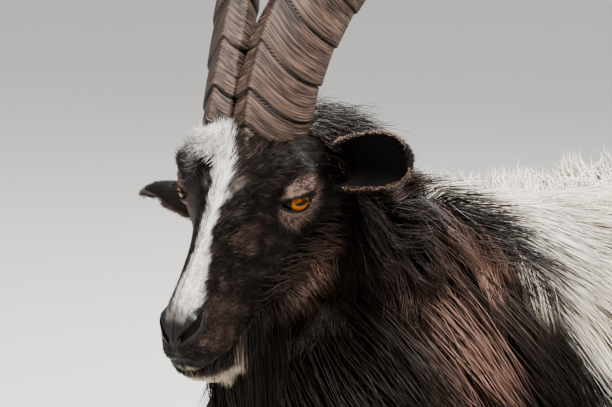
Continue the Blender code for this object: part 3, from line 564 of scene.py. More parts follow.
def tube(grid):
    """Closed bmesh through rings of points, each end closed by a fan to its middle."""
    mesh = bmesh.new()
    rows = [[mesh.verts.new(point) for point in ring] for ring in grid]
    count = len(rows[0])
    for low, high in zip(rows, rows[1:]):
        for i in range(count):
            j = (i + 1) % count
            mesh.faces.new((low[i], low[j], high[j], high[i]))
    for row, step in ((rows[0], -1), (rows[-1], 1)):
        middle = mesh.verts.new(sum((v.co for v in row), Vector()) / count)
        for i in range(count):
            j = (i + step) % count
            mesh.faces.new((row[i], row[j], middle))
    if mesh.calc_volume(signed=True) < 0.0:
        bmesh.ops.reverse_faces(mesh, faces=mesh.faces)
    return mesh


def ball(centre, radius, rows=28):
    mesh = bmesh.new()
    bmesh.ops.create_uvsphere(mesh, u_segments=2 * rows, v_segments=rows, radius=radius)
    bmesh.ops.translate(mesh, verts=mesh.verts, vec=centre)
    return mesh


def eye_axes(side):
    """Turn from an upright disc's axis to the way the eye looks, in the head's axes."""
    look = Vector((0.42, 0.90 * side, 0.08)).normalized()
    across = look.cross(UP).normalized()
    level = Matrix.Rotation(EYE_TILT * side, 4, "Z")
    return Matrix((across, look.cross(across), look)).transposed().to_4x4() @ level


def eye_place(side):
    return head_frame() @ Matrix.Translation(eye_centre(side)) @ eye_axes(side)


def lid_opening(side):
    """Almond-shaped cutter through the lids: highest near the nose, lowest away from it."""
    half, height = LID_OPENING
    a = full_turn(48)
    skew = np.cos(a) * side
    swell = np.where(np.sin(a) < 0.0, 0.72 * (1.0 + 0.45 * skew), 1.0 - 0.30 * skew)
    outline = np.stack([half * np.cos(a), height * swell * np.sin(a) * np.abs(np.sin(a)) ** 0.4], axis=-1)
    rings = [np.column_stack([outline, np.full(48, depth)]) for depth in (0.004, 0.035)]
    mesh = tube(rings)
    mesh.transform(eye_place(side))
    return mesh


def along_knots(knots, count):
    """Evenly shared places along a line through named points."""
    at, known = np.linspace(0.0, 1.0, count), np.linspace(0, 1, len(knots))
    return np.stack([np.interp(at, known, column) for column in np.array(knots).T], axis=1)


def nostril(side):
    """Comma-shaped cutter: a slit that runs up and back from the nose's front."""
    a = full_turn(20)[:, None]
    rise = unit(np.array([0.25, 0.1 * side, 1.0]))
    rings = []
    for t, centre in zip(np.linspace(0.0, 1.0, 14), along_knots(NOSTRIL, 14)):
        inward = unit(np.array([-0.9 + 0.6 * t, (-0.3 - 0.7 * t) * side, 0.0]))
        half = 0.0010 + 0.0034 * math.sin(math.pi * min(1.0, 0.25 + 0.75 * t)) ** 0.8
        centre = centre * (1.0, side, 1.0)
        rings.append(centre + inward * 0.007 * np.cos(a) + rise * half * np.sin(a))
    return tube(from_head(np.array(rings)))


def mouth_line():
    """Wedge cutter along the mouth, from one corner round the front to the other."""
    left = along_knots(MOUTH, 24)
    line = np.concatenate([(left * (1.0, -1.0, 1.0))[:0:-1], left])
    tangent = np.gradient(line, axis=0) * (1.0, 1.0, 0.0)
    inward = unit(np.cross(tangent, (0.0, 0.0, -1.0)))
    reach = np.abs(np.linspace(-1.0, 1.0, len(line)))[:, None]
    gape = (0.0024 - 0.0010 * reach) * np.array([0.2, 0.0, 1.0])
    back = line - inward * 0.006
    rings = np.stack([back + gape, line + inward * 0.0040, back - gape], axis=1)
    return tube(from_head(rings))


def markings(points):
    """Linear colour of the coat at points of the body: black before, white behind, and the face."""
    local = to_head(points)
    along, across, rise = local.T
    broad, close = waves(points, 0.070, 3), waves(points, 0.012, 4)
    colour = np.tile(linear(HAIR["black"]), (len(points), 1))

    def lay(code, share):
        colour[:] = towards(colour, code, np.clip(share, 0, 1)[:, None])

    lay("umber", 0.30 * ramp(broad, -0.2, 1.4))
    head_side = (along > -0.14) & (rise > -0.20)
    x, _, z = points.T
    edge = 0.150 + 0.40 * (z - 0.58) + 0.006 * close + 0.010 * broad
    behind = ramp(x, edge + 0.010, edge - 0.010)
    lay("white", behind)
    lay("cream", behind * (0.35 + 0.4 * ramp(z, 0.62, 0.36) + 0.25 * broad))
    forward, middle, half = np.array(BLAZE).T
    off = np.abs(across - np.interp(along, forward, middle)) + 0.0016 * close
    blaze = ramp(off / np.interp(along, forward, half), 1.25, 0.75)
    blaze *= head_side * (rise > -0.012) * ramp(along, -0.034, -0.024) * ramp(along, 0.154, 0.146)
    for centre, radii, code, strength in FACE_PATCHES:
        away = (np.column_stack([along, np.abs(across), rise]) - centre) / radii
        lay(code, strength * head_side * ramp((away**2).sum(1) + 0.25 * close, 1.3, 0.5))
    lay("white", blaze)
    lay("grey", blaze * ramp(along, 0.128, 0.152) * 0.6)
    return colour


def lid_distance(points):
    """How far a point lies outside the nearer eye's opening: 1 on its edge, 0 at the pupil."""
    half, height = LID_OPENING
    shares = []
    for side in (1.0, -1.0):
        place = np.array(eye_place(side))
        local = (points - place[:3, 3]) @ place[:3, :3]
        share = np.hypot(local[:, 0] / half, local[:, 1] / height)
        shares.append(np.where(local[:, 2] > 0.0, share, 9.0))
    return np.minimum(*shares)


def leather_share(points):
    """1 on the bare skin of the nose pad and lips, 0 on haired skin."""
    along, across, rise = to_head(points).T
    pad = ramp(along, 0.154, 0.163) * ramp(rise, -0.021, -0.016)
    comma = ((along - 0.154) / 0.018) ** 2 + ((np.abs(across) - 0.0160) / 0.009) ** 2
    comma = comma + ((rise + 0.007) / 0.009) ** 2
    groove = ramp(np.abs(across), 0.0022, 0.0012) * ramp(along, 0.166, 0.168) * (rise > -0.034)
    forward, _, height = np.array(MOUTH)[::-1].T
    lips = ramp(np.abs(rise - np.interp(along, forward, height)), 0.0026, 0.0016) * ramp(along, 0.118, 0.124)
    return np.clip(np.maximum(np.maximum(pad, groove), np.maximum(ramp(comma, 1.2, 0.8), lips)), 0, 1)


def collection():
    """Collection for the goat's pieces, made on first use."""
    found = bpy.data.collections.get("goat")
    if found is None:
        found = bpy.data.collections.new("goat")
        bpy.context.scene.collection.children.link(found)
    return found


def settle(piece, nodes=()):
    """Let a piece ride with the body, in place of the solids' nodes."""
    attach(piece, "root")
    if nodes:
        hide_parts(*nodes)


def mesh_data(name, mesh, place=Matrix.Translation(SHIFT)):
    """Mesh from a bmesh in the body's axes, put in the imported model's place."""
    data = bpy.data.meshes.new(name)
    mesh.to_mesh(data)
    mesh.free()
    data.transform(place)
    return data


def add_piece(name, mesh, paint, triangles=False):
    if triangles:
        bmesh.ops.triangulate(mesh, faces=mesh.faces)
    data = mesh_data(name, mesh)
    data.shade_smooth()
    if paint:
        data.materials.append(paint)
    made = bpy.data.objects.new(name, data)
    collection().objects.link(made)
    return made


def combine(base, meshes, operation):
    """Join closed meshes to the object, or cut them out of it, in one Boolean."""
    pool = bpy.data.collections.new(base.name + "_pieces")
    bpy.context.scene.collection.children.link(pool)
    for mesh in meshes:
        bmesh.ops.triangulate(mesh, faces=mesh.faces)
        pool.objects.link(bpy.data.objects.new("piece", mesh_data("piece", mesh)))
    modifier = base.modifiers.new("Combine", "BOOLEAN")
    modifier.operation = operation
    modifier.operand_type = "COLLECTION"
    modifier.collection = pool
    modifier.solver = "MANIFOLD"
    bpy.context.view_layer.update()
    graph = bpy.context.evaluated_depsgraph_get()
    data = bpy.data.meshes.new_from_object(base.evaluated_get(graph))
    base.modifiers.clear()
    base.data = data
    for piece in list(pool.objects):
        bpy.data.objects.remove(piece)
    bpy.data.collections.remove(pool)


def mesh_points(data):
    points = np.empty(len(data.vertices) * 3, np.float32)
    data.vertices.foreach_get("co", points)
    return points.reshape(-1, 3).astype(float) - np.array(SHIFT)


def write_colours(data, name, colours):
    layer = data.attributes.new(name, "FLOAT_COLOR", "POINT")
    layer.data.foreach_set("color", np.column_stack([colours, np.ones(len(colours))]).ravel())


def write_values(data, name, values):
    layer = data.attributes.new(name, "FLOAT", "POINT")
    layer.data.foreach_set("value", np.asarray(values, np.float32))


def feed(tree, made, inputs):
    """Link each named input of a node to a socket, or set it to a value."""
    for name, value in inputs.items():
        if isinstance(value, bpy.types.NodeSocket):
            tree.links.new(value, made.inputs[name])
        else:
            made.inputs[name].default_value = value


def node(tree, kind, settings=None, inputs=None):
    """Shader node with its settings, and its inputs linked or given values."""
    made = tree.nodes.new("ShaderNode" + kind)
    for name, value in (settings or {}).items():
        setattr(made, name, value)
    feed(tree, made, inputs or {})
    return made


def new_material(name):
    """Empty node material with its tree and Principled shader."""
    made = bpy.data.materials.new(name)
    made.use_nodes = True
    tree = made.node_tree
    return made, tree, tree.nodes["Principled BSDF"]


def hide_skin():
    """Goat skin under hair, and the bare leathery nose: matt hide, a little damp on the nose."""
    made, tree, shader = new_material("goat_hide")
    colour = node(tree, "Attribute", {"attribute_name": "coat"}).outputs["Color"]
    bare = node(tree, "Attribute", {"attribute_name": "bare"}).outputs["Fac"]
    place = node(tree, "TexCoord").outputs["Object"]
    # Pebbled nose leather has cells of about 1.2 mm
    pebbles = node(tree, "TexVoronoi", {"feature": "SMOOTH_F1"}, {"Vector": place, "Scale": 820.0})
    pebbles = pebbles.outputs["Distance"]
    # Fine lie of short hair, about 2 mm from wave to wave
    grain = node(tree, "TexNoise", None, {"Vector": place, "Scale": 480.0, "Detail": 4.0}).outputs["Fac"]
    relief = node(tree, "Mix", {"data_type": "FLOAT"}, {0: bare, 2: grain, 3: pebbles}).outputs[0]
    bump = node(tree, "Bump", None, {"Strength": 0.55, "Distance": 0.0005, "Height": relief})
    gloss = node(tree, "MapRange", None, {"Value": bare, "To Min": 0.75, "To Max": 0.36})
    finish = {"Base Color": colour, "Roughness": gloss.outputs["Result"], "Specular IOR Level": 0.28}
    feed(tree, shader, {**finish, "Normal": bump.outputs["Normal"]})
    return made


def goat_hair():
    """Keratin guard hair, smooth-scaled: a soft streaky gloss along dark locks and pale ones."""
    made, tree, shader = new_material("goat_hair")
    colour = node(tree, "Attribute", {"attribute_name": "coat"}).outputs["Color"]
    feed(tree, shader, {"Base Color": colour, "Roughness": 0.42, "IOR": 1.55})
    feed(tree, shader, {"Specular IOR Level": 0.34, "Specular Tint": rgba("EBDDD5")})
    return made


def ribbed_horn():
    """Weathered keratin grown in rings: dry grey-brown, with painted shade, near black, in each groove and at
    the root.
    """
    made, tree, shader = new_material("ribbed_horn")
    names = ("growth", "around", "groove")
    along, around, groove_shade = (node(tree, "Attribute", {"attribute_name": name}).outputs["Fac"] for name in names)
    place = node(tree, "CombineXYZ", None, {0: along, 1: around}).outputs["Vector"]

    def lines(spacing, stretch, detail, distortion=0.0):
        """Noise drawn out round the horn, with its lines a spacing apart in metres."""
        scaled = node(tree, "VectorMath", {"operation": "MULTIPLY"}, {0: place, 1: (1 / spacing, stretch, 1.0)})
        look = {"Scale": 1.0, "Detail": detail, "Roughness": 0.62, "Distortion": distortion}
        return node(tree, "TexNoise", None, {"Vector": scaled.outputs["Vector"], **look}).outputs["Fac"]

    # Growth lines lie 2.4 mm apart, over broader bands of 12 mm, and fine cracks break them up
    tone = 0.0
    for pattern, weight in (
        (lines(0.0024, 1.0, 4.0, 0.2), 0.60),
        (lines(0.012, 0.5, 2.0), 0.20),
        (lines(0.0011, 2.6, 3.0, 0.5), 0.24),
    ):
        tone = node(tree, "Math", {"operation": "MULTIPLY_ADD"}, {0: pattern, 1: weight, 2: tone}).outputs[0]
    colours = node(tree, "ValToRGB", None, {"Fac": tone})
    stops = colours.color_ramp.elements
    stops[0].position, stops[0].color = 0.43, rgba("120B09")
    stops[1].position, stops[1].color = 0.63, rgba("6A564A")
    stops.new(0.50).color = rgba("3D2E26")
    # Painted shade: the colour turns near black in the grooves between rings and at the root
    shaded_horn = {0: groove_shade, 6: colours.outputs["Color"], 7: rgba("070403")}
    shaded_horn = node(tree, "Mix", {"data_type": "RGBA"}, shaded_horn).outputs[2]
    bump = node(tree, "Bump", None, {"Strength": 0.9, "Distance": 0.0009, "Height": tone})
    feed(tree, shader, {"Base Color": shaded_horn, "Roughness": 0.60, "IOR": 1.54})
    feed(tree, shader, {"Specular IOR Level": 0.35, "Normal": bump.outputs["Normal"]})
    return made


def hoof_horn():
    """Dense hoof keratin, worn smooth by stone: near black, with faint growth lines."""
    made, tree, shader = new_material("hoof_wall")
    place = node(tree, "TexCoord").outputs["Object"]
    # Growth lines ring the claw about every 3 mm
    scaled = node(tree, "VectorMath", {"operation": "MULTIPLY"}, {0: place, 1: (40.0, 40.0, 330.0)})
    lines = {"Vector": scaled.outputs["Vector"], "Scale": 1.0, "Detail": 3.0}
    lines = node(tree, "TexNoise", None, lines).outputs["Fac"]
    colours = node(tree, "ValToRGB", None, {"Fac": lines})
    stops = colours.color_ramp.elements
    stops[0].position, stops[0].color = 0.35, rgba("1D1815")
    stops[1].position, stops[1].color = 0.70, rgba("54493F")
    bump = node(tree, "Bump", None, {"Strength": 0.5, "Distance": 0.0006, "Height": lines})
    feed(tree, shader, {"Base Color": colours.outputs["Color"], "Roughness": 0.48, "IOR": 1.54})
    feed(tree, shader, {"Normal": bump.outputs["Normal"]})
    return made


def wet_eye(iris, slit):
    """Wet cornea over an amber iris with a level slit: a sharp gloss and fine spokes round the slit."""
    made, tree, shader = new_material("wet_eye")
    place = node(tree, "TexCoord").outputs["Object"]
    split = node(tree, "SeparateXYZ", None, {0: place})
    flat = node(tree, "CombineXYZ", None, {0: split.outputs[0], 1: split.outputs[1]}).outputs["Vector"]
    reach = node(tree, "VectorMath", {"operation": "LENGTH"}, {0: flat}).outputs["Value"]
    squeezed = node(tree, "VectorMath", {"operation": "DIVIDE"}, {0: flat, 1: (slit[0], slit[1], 1.0)})
    pupil = node(tree, "VectorMath", {"operation": "LENGTH"}, {0: squeezed.outputs["Vector"]}).outputs["Value"]
    heading = node(tree, "VectorMath", {"operation": "NORMALIZE"}, {0: flat}).outputs["Vector"]
    # Spokes about 0.5 mm apart at the edge of an iris 12 mm across
    spokes = {"Vector": heading, "Scale": 9.0, "Detail": 5.0, "Roughness": 0.7}
    spokes = node(tree, "TexNoise", None, spokes).outputs["Fac"]
    dark, light = ([min(1.0, channel * gain) for channel in iris[:3]] + [1.0] for gain in (0.30, 1.5))
    eye = node(tree, "Mix", {"data_type": "RGBA"}, {0: spokes, 6: dark, 7: light}).outputs[2]
    # The iris has a dark rim, and the slit has a soft edge
    smooth = {"interpolation_type": "SMOOTHSTEP"}
    rim = node(tree, "MapRange", smooth, {"Value": reach, "From Min": 0.0088, "From Max": 0.0108})
    rim = {0: rim.outputs["Result"], 6: eye, 7: rgba("1A0F0A")}
    eye = node(tree, "Mix", {"data_type": "RGBA"}, rim).outputs[2]
    edge = node(tree, "MapRange", smooth, {"Value": pupil, "From Min": 0.90, "From Max": 1.12})
    edge = {0: edge.outputs["Result"], 6: rgba("060404"), 7: eye}
    eye = node(tree, "Mix", {"data_type": "RGBA"}, edge).outputs[2]
    feed(tree, shader, {"Base Color": eye, "Roughness": 0.25, "IOR": 1.38, "Specular IOR Level": 0.12})
    feed(tree, shader, {"Coat Weight": 0.20, "Coat Roughness": 0.03})
    return made


def studio_floor():
    """Seamless backdrop paper: flat, matt and pale."""
    made, tree, shader = new_material("backdrop_paper")
    place = node(tree, "TexCoord").outputs["Object"]
    # Paper tooth is too fine to show, so it is drawn 6 mm across
    tooth = node(tree, "TexNoise", None, {"Vector": place, "Scale": 160.0, "Detail": 3.0}).outputs["Fac"]
    bump = node(tree, "Bump", None, {"Strength": 0.08, "Distance": 0.001, "Height": tooth})
    feed(tree, shader, {"Base Color": rgba("DAD8D2"), "Roughness": 0.9, "Normal": bump.outputs["Normal"]})
    return made


def shared_material(make):
    """The material of that maker, made on first use."""
    key = "made_by_" + make.__name__
    for found in bpy.data.materials:
        if found.get(key):
            return found
    made = make()
    made[key] = True
    return made


class Surface:
    """Outer surface of one part, with each point's place on the coat's unwrap."""

    def __init__(self, grid, tile):
        after = np.roll(grid, -1, axis=1)
        self.corners = np.stack([grid[:-1], after[:-1], after[1:], grid[1:]], axis=2).reshape(-1, 4, 3)
        a, b, c, d = self.corners.transpose(1, 0, 2)
        normals = np.cross(b + c - a - d, c + d - a - b)
        self.areas = np.linalg.norm(np.cross(c - a, d - b), axis=1) / 2
        centre = grid.mean(1, keepdims=True)[:-1].repeat(grid.shape[1], axis=1).reshape(-1, 3)
        outward = dot(self.corners.mean(1) - centre, normals).sum()
        self.normals = unit(normals) * (1.0 if outward > 0 else -1.0)
        self.shape = grid.shape[0] - 1, grid.shape[1]
        self.tile = tile

    def sample(self, count, draw, density=None):
        """Roots, normals and unwrap places, denser where the density is higher."""
        weight = self.areas * (density(self.corners.mean(1)).clip(0.0) if density else 1.0)
        quad = draw.choice(len(self.areas), count, p=weight / weight.sum())
        s, t = draw.random((2, count, 1))
        a, b, c, d = self.corners[quad].transpose(1, 0, 2)
        points = (1 - s) * (1 - t) * a + s * (1 - t) * b + s * t * c + (1 - s) * t * d
        u = (quad % self.shape[1] + s[:, 0]) / self.shape[1]
        v = (quad // self.shape[1] + t[:, 0]) / self.shape[0]
        places = np.array(self.tile[:2]) + np.column_stack([u, v]) * self.tile[2]
        return points, self.normals[quad], places


def skin_tree():
    data = bpy.data.objects["goat_skin"].data
    points = mesh_points(data)
    return BVHTree.FromPolygons(points.tolist(), [tuple(p.vertices) for p in data.polygons])


def nearest(tree, points):
    """Nearest places and normals on the skin."""
    found = [tree.find_nearest(p) for p in points.tolist()]
    return np.array([tuple(f[0]) for f in found]), np.array([tuple(f[1]) for f in found])


class Coat:
    """Hairs of one part of the coat, as paths over the skin that become joined meshes."""

    def __init__(self, name, tree, surface, count, seed, density=None, reach=0.003):
        self.name, self.tree = name, tree
        self.draw = np.random.default_rng(seed)
        roots, normals, places = surface.sample(count, self.draw, density)
        near, skin_normals = nearest(tree, roots)
        on_skin = np.linalg.norm(near - roots, axis=1) < reach
        on_skin &= (skin_normals * normals).sum(1) > 0.3
        self.sown, self.kept = count, np.flatnonzero(on_skin)
        self.roots, self.normals, self.places = near[on_skin], normals[on_skin], places[on_skin]
        self.base = markings(self.roots)

    def __len__(self):
        return len(self.roots)

    def uneven(self, low, high):
        """An even draw for each hair, the same for a hair whichever of the others are kept."""
        return self.draw.uniform(low, high, self.sown)[self.kept]

    def bell(self, *shape):
        """A bell-curve draw for each hair, the same for a hair whichever of the others are kept."""
        return self.draw.normal(size=(self.sown, *shape))[self.kept]

    def comb(self, lie, length, lift, steps, follow=0.5, stray=0.10):
        """Lay each hair along a direction over the skin, hanging free where the skin turns away."""
        count = len(self)
        lie = unit(lie) + self.bell(3) * stray
        lift = np.broadcast_to(lift, count)[:, None] * self.uneven(0.6, 1.4)[:, None]
        length = np.broadcast_to(length, count)[:, None] * self.uneven(0.75, 1.25)[:, None]
        normal = self.normals
        heading = unit(lie - normal * dot(lie, normal))
        here = self.roots + normal * lift * 0.15
        self.path = [self.roots - normal * HAIR_ROOT_DEPTH]
        for step in range(1, steps + 1):
            along = unit(lie - normal * np.minimum(dot(lie, normal), 0.0))
            heading = unit(heading * (1 - follow) + along * follow)
            here = here + heading * length / steps
            near, normal = nearest(self.tree, here)
            depth = dot(here - near, normal)
            wanted = lift * (0.30 + 0.70 * step / steps)
            here = here + normal * np.maximum(wanted - depth, 0.0)
            self.path.append(here)
        self.path = np.stack(self.path, axis=1)

    def curl(self, size, turns):
        """Bend each hair into slow waves that grow towards its tip."""
        share = np.linspace(0.0, 1.0, self.path.shape[1])
        along = unit(self.path[:, -1] - self.path[:, 0])
        side = unit(np.cross(along, self.normals + 1e-6))
        out = np.cross(side, along)
        phase, way = self.uneven(0, 6.3)[:, None], self.uneven(-1, 1)[:, None]
        swing = np.sin(share * turns * 2 * math.pi + phase) - np.sin(phase)
        amount = np.broadcast_to(size, len(self))[:, None] * share**0.7
        self.path = self.path + side[:, None] * (swing * amount)[:, :, None]
        self.path = self.path + out[:, None] * (swing * amount * way * 0.5)[:, :, None]

    def gather(self, spacing, pull):
        """Draw the hairs towards locks about a spacing apart, more towards the tips."""
        leads = np.flatnonzero(self.uneven(0.0, 1.0) * spacing < 1.0)
        places = KDTree(len(leads))
        for i, lead in enumerate(leads):
            places.insert(self.roots[lead], i)
        places.balance()
        lead = leads[[places.find(p)[1] for p in self.roots.tolist()]]
        share = np.linspace(0.0, 1.0, self.path.shape[1])[None, :, None]
        apart = (self.roots - self.roots[lead])[:, None]
        wanted = self.path[lead] + apart * (1.0 - 0.8 * share)
        amount = pull * share**0.8 * self.uneven(0.5, 1.0)[:, None, None]
        self.path = self.path + (wanted - self.path) * amount
        self.lead = lead

    def tint(self, code, share):
        """Turn the hairs' own colour towards another."""
        share = np.broadcast_to(share, len(self))[:, None]
        self.base = towards(self.base, code, share)

    def paint(self, tips=None, tip_share=0.0, contrast=0.35, root_shade=0.6, tip_start=1.5, locks=0.25):
        """Vary the colour from hair to hair, darker at the root and changing to the tip."""
        shade = 1.0 + contrast * self.bell().clip(-1.5, 2.2)
        if hasattr(self, "lead"):
            shade *= 1.0 + locks * waves(self.roots[self.lead] * 7.0, 0.06, 9)
        base = self.base * shade.clip(0.35, 2.2)[:, None]
        share = np.linspace(0.0, 1.0, self.path.shape[1])[None, :, None]
        colours = base[:, None] * (root_shade + (1.0 - root_shade) * np.minimum(share * 2.0, 1.0))
        if tips is not None:
            amount = np.broadcast_to(tip_share, len(self))[:, None, None] * share**tip_start
            colours = towards(colours, tips, amount)
        self.colours = np.clip(colours, 0.0, 1.0)

    def build(self, width, slot="fur_black"):
        """Make the hairs: three-sided, widest near the root, drawn out to a point."""
        low, high = np.array(SOLID_BOUNDS) + np.array([[-HAIR_ROOM], [HAIR_ROOM]]) - np.array(SHIFT)
        kept = ((self.path > low) & (self.path < high)).all(axis=(1, 2))
        width = np.broadcast_to(width, len(self))[kept, None]
        for name in ("kept", "roots", "path", "normals", "places", "colours"):
            setattr(self, name, getattr(self, name)[kept])
        count, points = self.path.shape[:2]
        rings = points - 1
        share = np.linspace(0.0, 1.0, points)[:rings]
        width = width * self.uneven(0.7, 1.3)[:, None]
        half = width / 2 * (0.75 + 0.25 * np.minimum(share * 4, 1.0)) * (1.0 - 0.55 * share**2)
        along = unit(np.gradient(self.path, axis=1))[:, :rings]
        across = unit(np.cross(along, self.normals[:, None] + 1e-6))
        spin = self.uneven(-0.6, 0.6)[:, None, None]
        out = np.cross(across, along)
        across = unit(across * np.cos(spin) + out * np.sin(spin))
        out = np.cross(across, along)
        centre = self.path[:, :rings]
        half = half[:, :, None]
        ring = [centre + across * half, centre + out * half * HAIR_FLATNESS, centre - across * half]
        ring = np.stack(ring, axis=2)
        corners = np.concatenate([ring.reshape(count, rings * 3, 3), self.path[:, -1:]], axis=1)
        tone = np.repeat(self.colours[:, :rings], 3, axis=1)
        tone = np.concatenate([tone, self.colours[:, -1:]], axis=1)
        wide, high = HAIR_PATCH
        patch = np.array([[(i - 1) * wide, high * s] for s in share for i in range(3)] + [[0.0, high]])
        places = self.places[:, None] + patch[None]
        faces = [[0, 1, 2]]
        for r in range(rings - 1):
            for i in range(3):
                j = (i + 1) % 3
                faces.append([3 * r + i, 3 * r + 3 + i, 3 * r + 3 + j, 3 * r + j])
        for i in range(3):
            faces.append([3 * rings - 3 + i, 3 * rings, 3 * rings - 3 + (i + 1) % 3])
        triangles = sum(len(face) - 2 for face in faces)
        pieces = math.ceil(count * triangles / MOST_TRIANGLES_OF_A_PIECE)
        edges = np.linspace(0, count, pieces + 1).astype(int)
        for number, (low, high) in enumerate(zip(edges, edges[1:])):
            name = f"{self.name}_{number + 1}" if pieces > 1 else self.name
            part = slice(low, high)
            settle(hair_piece(name, corners[part], tone[part], places[part], faces))


def hair_piece(name, corners, tone, places, faces):
    """One mesh of many hairs that share the same faces, with colours and the OFBake unwrap."""
    count, each = corners.shape[:2]
    starts = np.arange(count)[:, None] * each
    loops = (starts + np.concatenate([np.array(face) for face in faces])[None]).ravel()
    totals = np.tile([len(face) for face in faces], count)
    data = bpy.data.meshes.new(name)
    data.vertices.add(count * each)
    data.vertices.foreach_set("co", (corners + np.array(SHIFT)).astype(np.float32).ravel())
    data.loops.add(len(loops))
    data.loops.foreach_set("vertex_index", loops.astype(np.int32))
    data.polygons.add(len(totals))
    data.polygons.foreach_set("loop_start", (np.cumsum(totals) - totals).astype(np.int32))
    data.update(calc_edges=True)
    data.shade_smooth()
    write_colours(data, "coat", tone.reshape(-1, 3))
    unwrap = data.uv_layers.new(name="OFBake")
    unwrap.data.foreach_set("uv", places.reshape(-1, 2)[loops].astype(np.float32).ravel())
    data.materials.append(shared_material(goat_hair))
    made = bpy.data.objects.new(name, data)
    collection().objects.link(made)
    return made


class GoatCoatSettings(bpy.types.PropertyGroup):
    """Sizes of the hair."""

    face_hair: bpy.props.FloatProperty(
        name="Face hair width", description="Width of a hair tuft on the face", default=0.00085, unit="LENGTH"
    )
    neck_hair: bpy.props.FloatProperty(
        name="Neck hair width", description="Width of a hair tuft on the neck", default=0.0011, unit="LENGTH"
    )
    body_hair: bpy.props.FloatProperty(
        name="Body hair width", description="Width of a hair tuft on the flanks", default=0.0015, unit="LENGTH"
    )
    mane_length: bpy.props.FloatProperty(
        name="Mane length", description="Longest hair of the neck", default=0.160, unit="LENGTH"
    )
    flank_length: bpy.props.FloatProperty(
        name="Flank length", description="Longest hair of the flanks", default=0.155, unit="LENGTH"
    )


class GoatHornSettings(bpy.types.PropertyGroup):
    """Growth rings of the horns."""

    groove_depth: bpy.props.FloatProperty(
        name="Groove depth", description="Depth of a deep groove", default=0.0020, unit="LENGTH"
    )
    ring_sag: bpy.props.FloatProperty(
        name="Ring sag", description="How far a ring falls back beside the keel", default=0.023, unit="LENGTH"
    )


class GoatEyeSettings(bpy.types.PropertyGroup):
    """Colour and pupil of the eyes."""

    iris: bpy.props.FloatVectorProperty(
        name="Iris", description="Colour of the iris", subtype="COLOR", size=3, default=linear("A5600F")
    )
    slit_length: bpy.props.FloatProperty(
        name="Slit length", description="Length of the pupil", default=0.0142, unit="LENGTH"
    )
    slit_height: bpy.props.FloatProperty(
        name="Slit height", description="Height of the pupil", default=0.0046, unit="LENGTH"
    )


class GoatSkin(bpy.types.Operator):
    """One skin over head, neck, trunk, legs, tail and ears"""

    bl_idname = "goat.skin"
    bl_label = "Skin"

    def execute(self, context):
        lids = [ball(head_frame() @ eye_centre(s), EYE_RADIUS + LID_THICKNESS) for s in SIDES.values()]
        flesh = [tube(neck_grid()), tube(head_grid()), tube(tail_grid())]
        flesh += [tube(leg_grid(name)) for name in LEGS]
        flesh += [tube(ear_grid(name)) for name in EAR_POSES]
        skin = add_piece("goat_skin", tube(trunk_grid()), None, triangles=True)
        combine(skin, flesh + lids, "UNION")
        self.soften(skin)
        openings = [mouth_line()]
        for side in SIDES.values():
            openings.append(ball(head_frame() @ eye_centre(side), EYE_RADIUS + 0.0001, 36))
            openings += [lid_opening(side), nostril(side)]
        combine(skin, openings, "DIFFERENCE")
        data = skin.data
        data.shade_smooth()
        data.materials.clear()
        data.materials.append(shared_material(hide_skin))
        data.polygons.foreach_set("material_index", np.zeros(len(data.polygons), np.int32))
        points = mesh_points(data)
        bare = leather_share(points)[:, None]
        rim = ramp(lid_distance(points), 1.20, 1.10)[:, None]
        leather = np.array(linear(HAIR["leather"]))
        # Painted shade: the haired skin takes 70% of the coat's colour, as the shade that lies under the hair
        colour = markings(points) * 0.70
        colour = colour + (leather * (1.0 - 0.75 * rim) - colour) * np.maximum(bare, rim)
        pink = np.exp(-(((to_head(points) - (0.160, 0.015, -0.054)) / (0.006, 0.008, 0.003)) ** 2).sum(1))
        colour = towards(colour, "pink", 0.8 * pink[:, None])
        write_colours(data, "coat", colour)
        write_values(data, "bare", np.maximum(bare, 0.3 * rim)[:, 0])
        settle(skin, ["head", "neck", "torso", "tail", "ear_left", "ear_right", *LEGS])
        return {"FINISHED"}

    def soften(self, skin):
        """Smooth the creases where the parts of the body run into each other."""
        mesh = bmesh.new()
        mesh.from_mesh(skin.data)
        mesh.normal_update()
        points = np.array([v.co for v in mesh.verts]) - np.array(SHIFT)
        local = to_head(points)
        body = (local[:, 0] < -0.030) & (np.linalg.norm(local - (-0.06, 0, 0), axis=1) > 0.075)
        from_eye = [np.linalg.norm(local - np.array(eye_centre(side)), axis=1) for side in SIDES.values()]
        brow = (np.minimum(*from_eye) > EYE_RADIUS + 0.0012) & (np.minimum(*from_eye) < 0.034)
        for wanted, turns in ((body, 14), (brow, 12)):
            chosen = [v for v, w in zip(mesh.verts, wanted) if w]
            for _ in range(turns):
                axes = {"use_axis_x": True, "use_axis_y": True, "use_axis_z": True}
                bmesh.ops.smooth_vert(mesh, verts=chosen, factor=0.5, **axes)
        mesh.to_mesh(skin.data)
        mesh.free()


class GoatEyes(bpy.types.Operator):
    """Both eyes, bulged at the cornea, with level slit pupils"""

    bl_idname = "goat.eyes"
    bl_label = "Eyes"

    def execute(self, context):
        settings = context.scene.goat_eyes
        paint = wet_eye(settings.iris, (settings.slit_length / 2, settings.slit_height / 2))
        for name, side in SIDES.items():
            mesh = ball(Vector((0, 0, 0)), EYE_RADIUS, 40)
            for vert in mesh.verts:
                off = math.hypot(vert.co.x, vert.co.y) / 0.0118
                if vert.co.z > 0.0 and off < 1.0:
                    vert.co.z += 0.0007 * (1.0 - off * off) ** 2
            data = mesh_data("eye", mesh, Matrix())
            data.shade_smooth()
            data.materials.append(paint)
            eye = bpy.data.objects.new(f"goat_eye_{name}", data)
            eye.matrix_world = Matrix.Translation(SHIFT) @ eye_place(side)
            collection().objects.link(eye)
            context.view_layer.update()
            settle(eye, [f"eye_{name}"])
        return {"FINISHED"}


